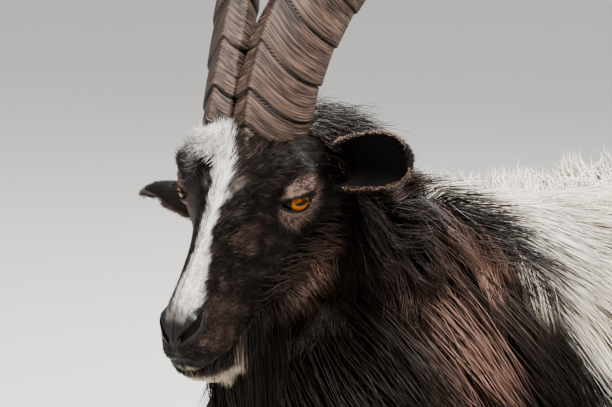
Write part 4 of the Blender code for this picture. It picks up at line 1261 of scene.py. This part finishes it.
class GoatHorns(bpy.types.Operator):
    """Both horns, ringed, keeled in front and swept back"""

    bl_idname = "goat.horns"
    bl_label = "Horns"

    def execute(self, context):
        for name, side in SIDES.items():
            self.make_horn(context.scene.goat_horns, name, side)
        return {"FINISHED"}

    def path(self, steps, side):
        """Places and directions along one horn, as in the solids."""
        place = head_frame() @ Vector((HORN_ROOT.x, HORN_ROOT.y * side, HORN_ROOT.z))
        back = Matrix.Rotation(HEAD_TURN, 3, "Z") @ Vector((-1.0, 0.0, 0.0))
        left = UP.cross(-back)
        tight, wide = HORN_RADIUS_OF_CURVE
        lean = HORN_LEAN
        previous = 0.0
        for share in steps:
            length = (share - previous) * HORN_LENGTH
            previous = share
            splay = math.radians(HORN_SPLAY * (1.0 - math.exp(-1.9 * share)))
            lean += length / (tight + (wide - tight) * share)
            along = UP * math.cos(lean) + back * math.sin(lean)
            along = (along + left * side * math.tan(splay)).normalized()
            place = place + along * length
            front = (UP * math.sin(lean) - back * math.cos(lean)).normalized()
            front = (front - along * front.dot(along)).normalized()
            twist = HORN_TWIST[0] + HORN_TWIST[1] * share * (1.0 - 0.5 * share)
            front = Matrix.Rotation(-side * twist, 3, along) @ front
            yield np.array(place), np.array(front), np.array(along.cross(front))

    def make_horn(self, settings, name, side, rows=820, sides=72):
        """One horn: rings swell and sag beside the keel, with a groove between each two."""
        steps = even_steps(0.0, 1.0, rows, crowd=-0.5)
        a = full_turn(sides)
        inward = np.sin(a)
        flat = np.where(inward > 0.0, HORN_INNER_FACE, 1.0)
        narrow = 1.0 - 0.26 * np.maximum(np.cos(a), 0.0) ** 1.3
        forth = np.minimum(np.cos(a), HORN_FRONT_FACE + 0.12 * (np.cos(a) - HORN_FRONT_FACE))
        turn = (a - HORN_KEEL + math.pi) % (2 * math.pi) - math.pi
        fall = 1 - np.exp(-((np.abs(turn) / np.where(turn < 0, 0.62, 0.45)) ** 1.5))
        sag = fall * np.where(turn < 0, 1.0, 0.45) - 0.32 * ramp(np.abs(turn), 1.1, 2.7)
        keel = 1.0 + 0.065 * np.exp(-((turn / 0.17) ** 2))
        wobble = waves(np.column_stack([np.cos(a), np.sin(a), 0 * a]), 2.0, 21)
        rings, growth, painted_groove_shade = [], [], []
        for share, (place, front, across) in zip(steps, self.path(steps, side)):
            size = max((1.0 - share) ** 0.55 * (1.0 - 0.18 * share), 0.0 if share == 1.0 else 0.03)
            grown = share + (settings.ring_sag * sag * size + 0.0015 * wobble) / HORN_LENGTH
            at = np.interp(grown * HORN_LENGTH, HORN_GROOVES, np.arange(len(HORN_GROOVES)))
            phase = at % 1.0
            gap = np.interp(at, np.arange(len(HORN_GROOVES) - 1) + 0.5, np.diff(HORN_GROOVES))
            deep = np.exp(-((np.minimum(phase, 1 - phase) * gap / 0.0010) ** 2))
            swell = 0.0022 * (1.0 - phase) ** 1.4 + 0.0006 * np.sin(math.pi * phase)
            swell = swell - settings.groove_depth * deep
            swell = swell + 0.00030 * np.sin(grown * 1400 + 3 * wobble)
            swell = swell * min(1.0, size * 1.6) * (share < 0.985)
            fore = (HORN_DEPTH / 2 * size * keel + swell)[:, None] * forth[:, None]
            wide = (HORN_WIDTH / 2 * size * narrow * flat * keel + swell)[:, None] * inward[:, None]
            rings.append(place + front * fore - across * wide * side)
            growth.append(grown * HORN_LENGTH)
            # Painted shade: full in each deep groove, and 0.35 at the root where the horn meets the head
            painted_groove_shade.append(deep * ramp(share, 0.97, 0.85) + 0.35 * ramp(share, 0.06, 0.0))
        grid = np.array(rings)
        horn = add_piece(f"goat_horn_{name}", tube(grid), shared_material(ribbed_horn))
        ends = [np.full(1, growth[0].mean()), np.full(1, growth[-1].mean())]
        write_values(horn.data, "growth", np.concatenate(growth + ends))
        write_values(horn.data, "around", np.concatenate([np.tile(np.abs(turn), rows), np.zeros(2)]))
        write_values(horn.data, "groove", np.clip(np.concatenate(painted_groove_shade + [np.zeros(2)]), 0, 1))
        settle(horn, [f"horn_{name}_base", f"horn_{name}_tip"])


class GoatHooves(bpy.types.Operator):
    """Cloven hooves, each with two claws, a soft heel and two dewclaws"""

    bl_idname = "goat.hooves"
    bl_label = "Hooves"

    def execute(self, context):
        for name, (_, at, side) in LEGS.items():
            claws = [self.claw(at, way) for way in (1.0, -1.0)]
            claws += [self.dewclaw(at, side, way) for way in (1.0, -1.0)]
            heel = ball(Vector(), 1.0, 14)
            heel.transform(Matrix.Diagonal((0.014, 0.016, 0.010, 1.0)))
            bmesh.ops.translate(heel, verts=heel.verts, vec=Vector((at.x - 0.008, at.y, 0.0175)))
            hoof = add_piece(f"goat_{name.replace('leg', 'hoof')}", heel, shared_material(hoof_horn), True)
            combine(hoof, claws, "UNION")
            hoof.data.shade_smooth()
            hoof.data.set_sharp_from_angle(angle=math.radians(50))
            settle(hoof, [name.replace("leg", "hoof")])
        return {"FINISHED"}

    def claw(self, at, way):
        """One claw: straight inner wall, rounded outer one, narrow toe and flat sole."""
        a = full_turn(32)
        rings = []
        for share in np.linspace(0.0, 1.0, 12):
            height = (HOOF_HEIGHT - 0.002) * share
            flare = 1.0 - 0.16 * share - 0.10 * (share < 0.05) + 0.015 * math.sin(share * 26)
            back, front = -0.026 + 0.004 * share, CLAW_LENGTH - 0.026 - 0.020 * share
            middle, reach = (front + back) / 2, (front - back) / 2
            narrow = 1.0 - 0.45 * np.maximum(np.cos(a), 0.0) ** 2
            x = at.x + 0.004 + middle + reach * np.cos(a)
            y = at.y + way * CLAW_SPREAD + CLAW_WIDTH / 2 * flare * np.sin(a) * narrow
            rings.append(np.stack([x, y, np.full(32, height)], axis=-1))
        return tube(np.array(rings))

    def dewclaw(self, at, side, way):
        """Small blunt claw behind the pastern."""
        mesh = ball(Vector(), 1.0, 10)
        mesh.transform(Matrix.Diagonal((0.0065, 0.0060, 0.0100, 1.0)))
        lean = LEG_LEAN * (DEWCLAW_HEIGHT - HOOF_HEIGHT)
        place = Vector((at.x - 0.026, at.y - side * lean + way * 0.0095, DEWCLAW_HEIGHT))
        mesh.transform(Matrix.Translation(place) @ Matrix.Rotation(math.radians(25), 4, "Y"))
        return mesh


class GoatFaceCoat(bpy.types.Operator):
    """Short flat hair of the head, and the longer hair of its jaw"""

    bl_idname = "goat.face_coat"
    bl_label = "Face coat"

    def execute(self, context):
        tree = skin_tree()
        surface = Surface(head_grid(), HEAD_TILE)
        width = context.scene.goat_coat.face_hair
        coat = Coat("face_coat", tree, surface, 90_000, 31, self.density)
        along, across, rise = to_head(coat.roots).T
        cheek = ramp(along, 0.055, -0.030) * ramp(rise, 0.015, -0.045)
        brow = ramp(along, 0.060, 0.010) * ramp(rise, 0.005, 0.030)
        ring = (np.column_stack([along, np.abs(across) - 0.055, rise + 0.003]) / (0.026, 0.022, 0.023)) ** 2
        ring = ramp(ring.sum(1), 1.25, 0.75)
        length = 0.0065 + 0.0040 * ramp(along, 0.13, 0.04) + 0.0060 * cheek + 0.0030 * brow
        length = length * (1.0 - 0.62 * ring)
        coat.comb(self.lie(coat.roots), length, 0.0014 + 0.0016 * cheek, 1, stray=0.14 + 0.25 * ring[:, None])
        coat.gather(9, 0.55)
        luck = coat.uneven(0.0, 1.0)
        coat.tint("fawn", 0.9 * ring * ramp(luck, 0.40, 0.60))
        coat.tint("black", ring * ramp(luck, 0.40, 0.30))
        streaks = ramp(waves(coat.roots, 0.020, 14) + 1.1 * coat.bell(), 0.8, 2.8)
        coat.paint("fawn", 0.75 * streaks, contrast=0.60, root_shade=0.45)
        coat.build(width * (1.0 + 0.35 * cheek + 0.10 * ring))

        jaw = Coat("jaw_coat", tree, surface, 6_500, 32, self.jaw_density)
        along, across, rise = to_head(jaw.roots).T
        length = 0.026 + 0.040 * ramp(along, 0.080, -0.050)
        hang = directions(-0.35, 0.15 * np.sign(across), -1.0)
        share = ramp(rise, -0.050, -0.095)[:, None]
        jaw.comb(self.lie(jaw.roots) * (1 - share) + hang * share, length, 0.0060, 4, stray=0.10)
        jaw.curl(0.0045, 1.1)
        jaw.gather(24, 0.75)
        jaw.paint("copper", 0.30 * jaw.uneven(0.0, 1.0), contrast=0.25)
        jaw.build(width * 1.1)
        return {"FINISHED"}

    def round_eye(self, points):
        """Direction away from the nearer eye in the head's axes, and how close it is."""
        local = to_head(points)
        side = np.where(local[:, 1] < 0.0, -1.0, 1.0)
        away = local - directions(0.0, EYE_SIDE * side, -EYE_BELOW)
        return unit(away), ramp(np.linalg.norm(away, axis=1), 0.040, 0.020)

    def density(self, points):
        along, across, _ = to_head(points).T
        near = 0.45 + 0.55 * ramp(across, -0.03, 0.0)
        near = near * (1 + ramp(along, 0.02, 0.10) + 3.0 * self.round_eye(points)[1])
        return near * (1 - leather_share(points)) * (lid_distance(points) > 1.05)

    def jaw_density(self, points):
        along, _, rise = to_head(points).T
        low = ramp(along, 0.110, 0.030) * ramp(rise, -0.035, -0.075)
        return low + 0.5 * ramp(along, -0.030, -0.070) * ramp(rise, 0.010, -0.020)

    def lie(self, points):
        """Back from the nose, level along the muzzle, falling over the cheek, and round the eye."""
        along, across, rise = to_head(points).T
        side = np.sign(across)
        flank = ramp(np.abs(across), 0.006, 0.024)
        fall = 0.10 + 0.45 * flank + 0.55 * flank * ramp(along, 0.080, 0.000) + 0.8 * ramp(along, -0.01, -0.08)
        fall = np.where(rise > 0.022, fall * ramp(rise, 0.050, 0.022), fall)
        lie = unit(directions(-1.0, (0.05 + 0.35 * flank) * side, -fall))
        away, close = self.round_eye(points)
        return head_turned(unit(lie + 0.9 * away * close[:, None]))


def weathered(coat):
    """How far the black hairs at the foot of the neck have faded to copper, lock by lock."""
    x, y, z = coat.path[:, -1].T
    middle = 0.274 + 0.10 * np.clip(0.70 - z, 0.0, 0.12)
    foot = np.exp(-(((x - middle) / 0.036) ** 2)) * ramp(z, 0.735, 0.695) * ramp(z, 0.50, 0.55)
    lock = waves(coat.roots[coat.lead] * 7.0, 0.08, 12) + 0.7 * coat.bell()
    return foot * (y > -0.05) * ramp(lock, -0.7, 0.8) * ramp(coat.base.max(axis=1), 0.30, 0.10)


class GoatNeckCoat(bpy.types.Operator):
    """Long black hair of the neck, from the jaw to the shoulder, and its rough crest"""

    bl_idname = "goat.neck_coat"
    bl_label = "Neck coat"

    def execute(self, context):
        settings = context.scene.goat_coat
        tree = skin_tree()

        def density(points):
            return 0.30 + 0.70 * ramp(points[:, 1] - 0.06 * (points[:, 0] - 0.25), -0.05, 0.02)

        surface = Surface(neck_grid(), NECK_TILE)
        coat = Coat("neck_coat", tree, surface, 18_000, 41, density, reach=0.012)
        x, _, z = coat.roots.T
        near_head = ramp(to_head(coat.roots)[:, 0], -0.20, -0.09)
        side = np.sign(coat.normals[:, 1] + 0.02)
        crest = ramp(coat.normals[:, 2], 0.55, 0.85) * ramp(x, 0.26, 0.34)
        top = ramp(coat.normals[:, 2], 0.15, 0.75)
        poll = ramp(x, 0.36, 0.40)
        lie = unit(directions(-0.10 + 0.40 * top, (0.10 + 0.6 * top) * side, -1.0)) * (1 - crest)[:, None]
        lie = lie + directions(-0.50, 0.70 * side, 0.45 - 0.80 * poll) * crest[:, None]
        length = settings.mane_length * (1.0 - 0.45 * near_head) * (1.0 - 0.45 * crest)
        length = length * (1.0 - 0.3 * crest * poll)
        lift = 0.010 + 0.012 * (1 - near_head) + 0.014 * crest
        coat.comb(lie, length, lift, 5, stray=0.06 + 0.1 * crest[:, None])
        coat.curl(0.0095, 1.5)
        coat.gather(70, 0.90)
        coat.base = markings(coat.path[:, 3])
        lock = waves(coat.roots[coat.lead] * 7.0, 0.08, 12)
        # Painted sheen: the dark locks high on the neck turn umber where light falls from above, and the lower
        # neck stays darker
        high = ramp(z - 0.8 * (x - 0.33), 0.60, 0.72) * ramp(coat.base.max(axis=1), 0.30, 0.10)
        coat.tint("umber", 0.45 * ramp(lock, -0.2, 1.0) * high)
        coat.tint("copper", 0.90 * weathered(coat))
        # Copper tips: real weathering at the foot of the neck, and a painted sheen on the upper neck's locks
        bleach_and_sheen = np.maximum(weathered(coat), 0.2 * high * ramp(lock, -1.0, 1.0))
        coat.paint("copper", bleach_and_sheen, contrast=0.24, locks=0.45)
        coat.build(settings.neck_hair)
        return {"FINISHED"}


class GoatTrunkCoat(bpy.types.Operator):
    """Long hair of the trunk: black over the shoulders, white behind, hanging past the belly"""

    bl_idname = "goat.trunk_coat"
    bl_label = "Trunk coat"

    def execute(self, context):
        settings = context.scene.goat_coat
        tree = skin_tree()
        grid = trunk_grid()
        front = grid[-1].mean(0)
        chest = [front + (grid[-1] - front) * size for size in np.linspace(0.94, 0.04, 10)]
        surface = Surface(np.concatenate([grid, chest]), TRUNK_TILE)

        def density(points):
            near = 0.40 + 0.60 * ramp(points[:, 0], -0.15, 0.05) * ramp(points[:, 1], -0.08, 0.0)
            near = near * (1.0 + 1.3 * ramp(points[:, 2], 0.69, 0.72))
            rump = ramp(points[:, 0], -0.35, -0.39)
            breast = ramp(points[:, 0], front[0] - 0.03, front[0] - 0.01)
            return near * (1.0 + (4.0 * rump + 2.0 * breast))

        coat = Coat("trunk_coat", tree, surface, 20_000, 51, density, reach=0.020)
        side = np.sign(coat.normals[:, 1])
        spine = ramp(coat.normals[:, 2], 0.75, 0.97)
        lie = directions(-0.38, 0.16 * side, -1.0)
        lie = lie + directions(-0.3 * spine, 0.2 * side * spine, 1.05 * spine)
        lie[:, 1] += 0.6 * side * ramp(coat.normals[:, 2], 0.1, 0.7)
        under = ramp(coat.normals[:, 2], -0.2, -0.8)
        length = settings.flank_length * (1.0 - 0.45 * spine) * (1.0 - 0.45 * under)
        lift = 0.018 * (1 - under) + 0.004 + 0.014 * spine
        coat.comb(lie, length, lift, 4, stray=0.07 + 0.10 * spine[:, None])
        coat.base = markings(coat.path[:, 1])
        coat.curl(0.0060, 1.0)
        coat.gather(22, 0.75)
        coat.tint("copper", 0.90 * weathered(coat))
        coat.paint("copper", weathered(coat), contrast=0.06, root_shade=0.90, locks=0.05)
        far = ramp(coat.roots[:, 0], 0.05, -0.20)
        coat.build(settings.body_hair * (1.0 + 0.6 * far), slot="fur_white")
        return {"FINISHED"}


class GoatLegCoat(bpy.types.Operator):
    """Short hair of the legs, with longer hair behind the thighs and forearms"""

    bl_idname = "goat.leg_coat"
    bl_label = "Leg coat"

    def execute(self, context):
        tree = skin_tree()
        for number, (name, (kind, _, _)) in enumerate(LEGS.items()):
            surface = Surface(leg_grid(name), (0.47 + 0.13 * number, 0.02, 0.12))
            coat = Coat(name + "_coat", tree, surface, 2_200, 61 + number, reach=0.008)
            z = coat.roots[:, 2]
            behind = ramp(coat.normals[:, 0], 0.1, -0.8) * ramp(z, 0.24, 0.34)
            lie = directions(-0.10 - 0.25 * behind, 0.0, -1.0)
            length = 0.016 + 0.012 * ramp(z, 0.1, 0.3) + 0.055 * behind + 0.030 * ramp(z, 0.36, 0.44)
            coat.comb(lie, length, 0.0020 + 0.004 * behind, 2, stray=0.10)
            coat.paint(contrast=0.15 if kind == "hind" else 0.4, root_shade=0.8)
            coat.build(0.0018, slot="fur_black" if kind == "fore" else "fur_white")
        return {"FINISHED"}


class GoatFringes(bpy.types.Operator):
    """Beard, forelock, nape, tail, ear and eyelid hair"""

    bl_idname = "goat.fringes"
    bl_label = "Beard and fringes"

    def execute(self, context):
        tree = skin_tree()
        head = Surface(head_grid(), HEAD_TILE)
        self.beard(tree, head)
        self.chin(tree, head)
        self.forelock(tree, head)
        self.nape(tree, head)
        self.lashes()
        for number, name in enumerate(EAR_POSES):
            self.ear(tree, name, number)
        tail = Coat("tail_coat", tree, Surface(tail_grid(), (0.80, 0.20, 0.10)), 1_000, 75, reach=0.010)
        side = np.sign(tail.normals[:, 1])
        tail.comb(directions(-0.8, 0.30 * side, -0.55), 0.075, 0.008, 3)
        tail.paint(contrast=0.12, root_shade=0.8)
        tail.build(0.0024, slot="fur_white")
        return {"FINISHED"}

    def beard(self, tree, surface):
        """Long black hair that hangs from between the jaws."""

        def density(points):
            along, across, rise = to_head(points).T
            under = ramp(rise, -0.060, -0.075) * (np.abs(across) < 0.022)
            return under * ramp(along, -0.010, 0.010) * ramp(along, 0.102, 0.090)

        beard = Coat("beard", tree, surface, 2_000, 71, density)
        along, across, _ = to_head(beard.roots).T
        lie = directions(-0.10, 4 * across, -1.0)
        length = 0.100 + 0.070 * ramp(np.abs(along - 0.050), 0.045, 0.0)
        beard.comb(lie, length, 0.002, 5, follow=0.7, stray=0.05)
        beard.curl(0.005, 1.1)
        beard.gather(45, 0.8)
        beard.tint("black", 1.0)
        beard.paint("umber", 0.3, contrast=0.3)
        beard.build(0.0013)

    def chin(self, tree, surface):
        """Dark hair under the chin with cream tips, short in front and longer behind."""

        def density(points):
            along, _, rise = to_head(points).T
            low = np.where(along > 0.152, -0.050, -0.062)
            near = 1.0 + 0.6 * ramp(along, 0.12, 0.10)
            return near * ramp(rise, low, low - 0.006) * ramp(along, 0.066, 0.080)

        chin = Coat("chin_coat", tree, surface, 4_200, 78, density)
        along, across, _ = to_head(chin.roots).T
        lie = directions(-0.12, 2 * across, -1.0)
        length = 0.008 + 0.036 * ramp(along, 0.146, 0.095)
        chin.comb(lie, length, 0.003, 3, stray=0.10)
        chin.gather(20, 0.6)
        edge = ramp(chin.path[:, -1, 2], 0.650, 0.643) * ramp(along, 0.096, 0.110)
        chin.tint("black", 0.95 * ramp(along, 0.162, 0.152))
        chin.tint("fawn", 0.25 * edge)
        chin.paint("cream", 0.95 * edge, contrast=0.25, tip_start=4)
        chin.build(0.0013)

    def forelock(self, tree, surface):
        """Pale curly hair that stands out from below the horns and falls over the far brow."""

        def density(points):
            along, across, rise = to_head(points).T
            away = ((along + 0.006) / 0.010) ** 2 + ((across + 0.012) / 0.015) ** 2
            return np.exp(-away) * (rise > 0.0) * (across < 0.008)

        lock = Coat("forelock", tree, surface, 1_500, 72, density)
        along, across, _ = to_head(lock.roots).T
        wild = ramp(across, -0.006, -0.024)
        lie = directions(0.90 - 0.4 * wild, -0.25 - 0.9 * wild, -0.10 + 0.25 * wild)
        length, lift = 0.010 + 0.007 * wild, 0.0018 + 0.003 * wild
        lock.comb(head_turned(lie), length, lift, 4, stray=0.25 + 0.30 * wild[:, None])
        lock.curl(0.0012 + 0.0022 * wild, 1.3)
        lock.gather(12, 0.45)
        lock.tint("white", 0.85 * ramp(across, -0.036, -0.020) * ramp(along, 0.010, -0.002))
        lock.tint("grey", 0.55 * ramp(across, -0.018, -0.030))
        lock.paint(contrast=0.20, root_shade=0.72)
        lock.build(0.0006)

    def nape(self, tree, surface):
        """Rough dark hair that stands up behind the horns."""

        def density(points):
            along, _, rise = to_head(points).T
            return ramp(along, -0.060, -0.085) * ramp(rise, -0.050, -0.020)

        nape = Coat("nape", tree, surface, 3_200, 73, density)
        side = np.sign(nape.normals[:, 1])
        lie = directions(-0.80, 0.32 * side, -0.46)
        ahead = ramp(to_head(nape.roots)[:, 0], -0.100, -0.080)
        nape.comb(lie, 0.075 - 0.052 * ahead, 0.004, 4, stray=0.24)
        nape.curl(0.009, 1.3)
        nape.gather(16, 0.50)
        nape.paint("umber", 0.40 * nape.uneven(0.0, 1.0), contrast=0.4)
        nape.build(0.0011)

    def ear(self, tree, name, number):
        """Short hair on both faces, and a pale fringe along the rim of the cup."""
        grid = ear_grid(name)
        surface = Surface(grid, (0.47 + 0.13 * number, 0.20, 0.12))
        stem = unit(grid[-1].mean(0) - grid[0].mean(0))
        coat = Coat(f"ear_{name}_coat", tree, surface, 5_000, 81 + number)
        coat.comb(np.tile(stem, (len(coat), 1)), 0.0065, 0.0014, 1, stray=0.25)
        coat.paint("umber", 0.25, contrast=0.35)
        coat.build(0.0010)

        half = grid.shape[1] // 2
        edge = np.concatenate([grid[5:, [half - 1, half]].mean(1), grid[5:, [0, -1]].mean(1)])

        def density(points):
            away = np.linalg.norm(points[:, None] - edge[None], axis=2).min(1)
            return ramp(away, 0.0035, 0.0015)

        rim = Coat(f"ear_{name}_rim", tree, surface, 1_500, 83 + number, density)
        middle = grid[:, half // 2]
        nearest_middle = np.linalg.norm(rim.roots[:, None] - middle[None], axis=2).argmin(1)
        outward = unit(rim.roots - middle[nearest_middle])
        rim.normals = unit(0.4 * rim.normals + outward)
        rim.comb(0.6 * stem + outward, 0.0042, 0.0022, 2, stray=0.30)
        # Painted shade: the far ear's pale rim is tinted 0.3 against 0.85 on the near ear
        rim.tint("rim", 0.85 if name == "left" else 0.3)
        rim.paint(contrast=0.25, root_shade=0.6)
        rim.build(0.0006)

    def lashes(self):
        """Dark lashes along the upper lids."""
        draw = np.random.default_rng(77)
        half, height = LID_OPENING
        for name, side in SIDES.items():
            count = 90
            a = draw.uniform(0.15, math.pi - 0.15, count)
            place = np.array(eye_place(side))
            depth = np.sqrt(np.maximum(EYE_RADIUS**2 - (half * np.cos(a)) ** 2, 0)) + 0.0015
            roots = np.stack([half * np.cos(a), -0.72 * height * np.sin(a) ** 1.4, depth], axis=-1)
            ahead = unit(directions(0.5 * np.cos(a), 0.25, 1.0))
            share = np.linspace(0.0, 1.0, 5)[None, :, None]
            length = draw.uniform(0.005, 0.009, count)[:, None, None]
            path = roots[:, None] + ahead[:, None] * length * share
            path = path - np.array([0.0, 0.005, 0.0]) * share**2 + np.array([0.0, 0.002, 0.0]) * share
            path = path @ place[:3, :3].T + place[:3, 3]
            lash = Coat.__new__(Coat)
            lash.name, lash.draw, lash.path = f"lashes_{name}", draw, path
            lash.sown, lash.kept = count, np.arange(count)
            lash.roots, lash.places = path[:, 0], np.column_stack([a / 60, a * 0 + 0.97]) + 0.01
            lash.normals = np.tile(place[:3, 2], (count, 1))
            lash.colours = np.tile(np.array(linear("1A1310")), (count, 5, 1))
            lash.build(0.0006)


class GoatStage(bpy.types.Operator):
    """Pale floor, soft lights and the camera"""

    bl_idname = "goat.stage"
    bl_label = "Stage"

    def execute(self, context):
        mesh = bmesh.new()
        bmesh.ops.create_grid(mesh, x_segments=1, y_segments=1, size=40.0)
        data = mesh_data("floor", mesh, Matrix())
        data.materials.append(studio_floor())
        floor = bpy.data.objects.new("floor", data)
        context.scene.collection.objects.link(floor)
        self.sky(context)
        eyes = EYES_AT + SHIFT
        for name, (away, size, power) in LIGHTS.items():
            self.area(name, eyes + away, eyes, size, power)
        self.camera(context, eyes)
        context.scene.view_settings.look = "AgX - Medium High Contrast"
        return {"FINISHED"}

    def sky(self, context):
        world = bpy.data.worlds.new("studio")
        world.use_nodes = True
        tree = world.node_tree
        feed(tree, tree.nodes["Background"], {"Color": rgba("F2F3F5"), "Strength": 0.72})
        context.scene.world = world

    def area(self, name, place, aim, size, power):
        light = bpy.data.lights.new(name, "AREA")
        light.size, light.energy = size, power
        made = bpy.data.objects.new(name, light)
        made.location = place
        made.rotation_euler = (place - aim).to_track_quat("Z", "Y").to_euler()
        bpy.context.scene.collection.objects.link(made)

    def camera(self, context, eyes):
        """Long lens at the left of the nose and a little above, as the goat was seen."""
        turns = (CAMERA_BEARING, CAMERA_BEARING + math.pi / 2)
        ahead, right = (Vector((math.cos(turn), math.sin(turn), 0.0)) for turn in turns)
        out = ahead * math.cos(CAMERA_HEIGHT) + UP * math.sin(CAMERA_HEIGHT)
        aim = eyes + right * CAMERA_AIM[0] - out.cross(right) * CAMERA_AIM[1]
        lens = bpy.data.cameras.new("camera")
        lens.lens, lens.sensor_width = CAMERA_LENS, 36
        made = bpy.data.objects.new("camera", lens)
        made.location = aim + out * CAMERA_DISTANCE
        made.rotation_euler = out.to_track_quat("Z", "Y").to_euler()
        context.scene.collection.objects.link(made)
        context.scene.camera = made


OPERATORS = (
    GoatSkin,
    GoatEyes,
    GoatHorns,
    GoatHooves,
    GoatFaceCoat,
    GoatNeckCoat,
    GoatTrunkCoat,
    GoatLegCoat,
    GoatFringes,
    GoatStage,
)
SETTINGS = {
    "goat_coat": GoatCoatSettings,
    "goat_horns": GoatHornSettings,
    "goat_eyes": GoatEyeSettings,
}


class GoatPanel(bpy.types.Panel):
    """The goat's pieces and their settings"""

    bl_idname = "VIEW3D_PT_goat"
    bl_label = "Feral Billy Goat"
    bl_space_type = "VIEW_3D"
    bl_region_type = "UI"
    bl_category = "Goat"

    def draw(self, context):
        for name, settings in SETTINGS.items():
            box = self.layout.box()
            for prop in settings.__annotations__:
                box.prop(getattr(context.scene, name), prop)
        for operator in OPERATORS:
            self.layout.operator(operator.bl_idname)


def register():
    for made in list(SETTINGS.values()) + list(OPERATORS) + [GoatPanel]:
        bpy.utils.register_class(made)
    for name, settings in SETTINGS.items():
        setattr(bpy.types.Scene, name, bpy.props.PointerProperty(type=settings))


def unregister():
    for name in SETTINGS:
        delattr(bpy.types.Scene, name)
    for made in [GoatPanel] + list(OPERATORS) + list(SETTINGS.values()):
        bpy.utils.unregister_class(made)


def main():
    """Make every piece in order, the skin first because the coat grows on it."""
    register()
    bpy.ops.goat.skin()
    bpy.ops.goat.eyes()
    bpy.ops.goat.horns()
    bpy.ops.goat.hooves()
    bpy.ops.goat.face_coat()
    bpy.ops.goat.neck_coat()
    bpy.ops.goat.trunk_coat()
    bpy.ops.goat.leg_coat()
    bpy.ops.goat.fringes()
    bpy.ops.goat.stage()


if __name__ == "__main__":
    main()
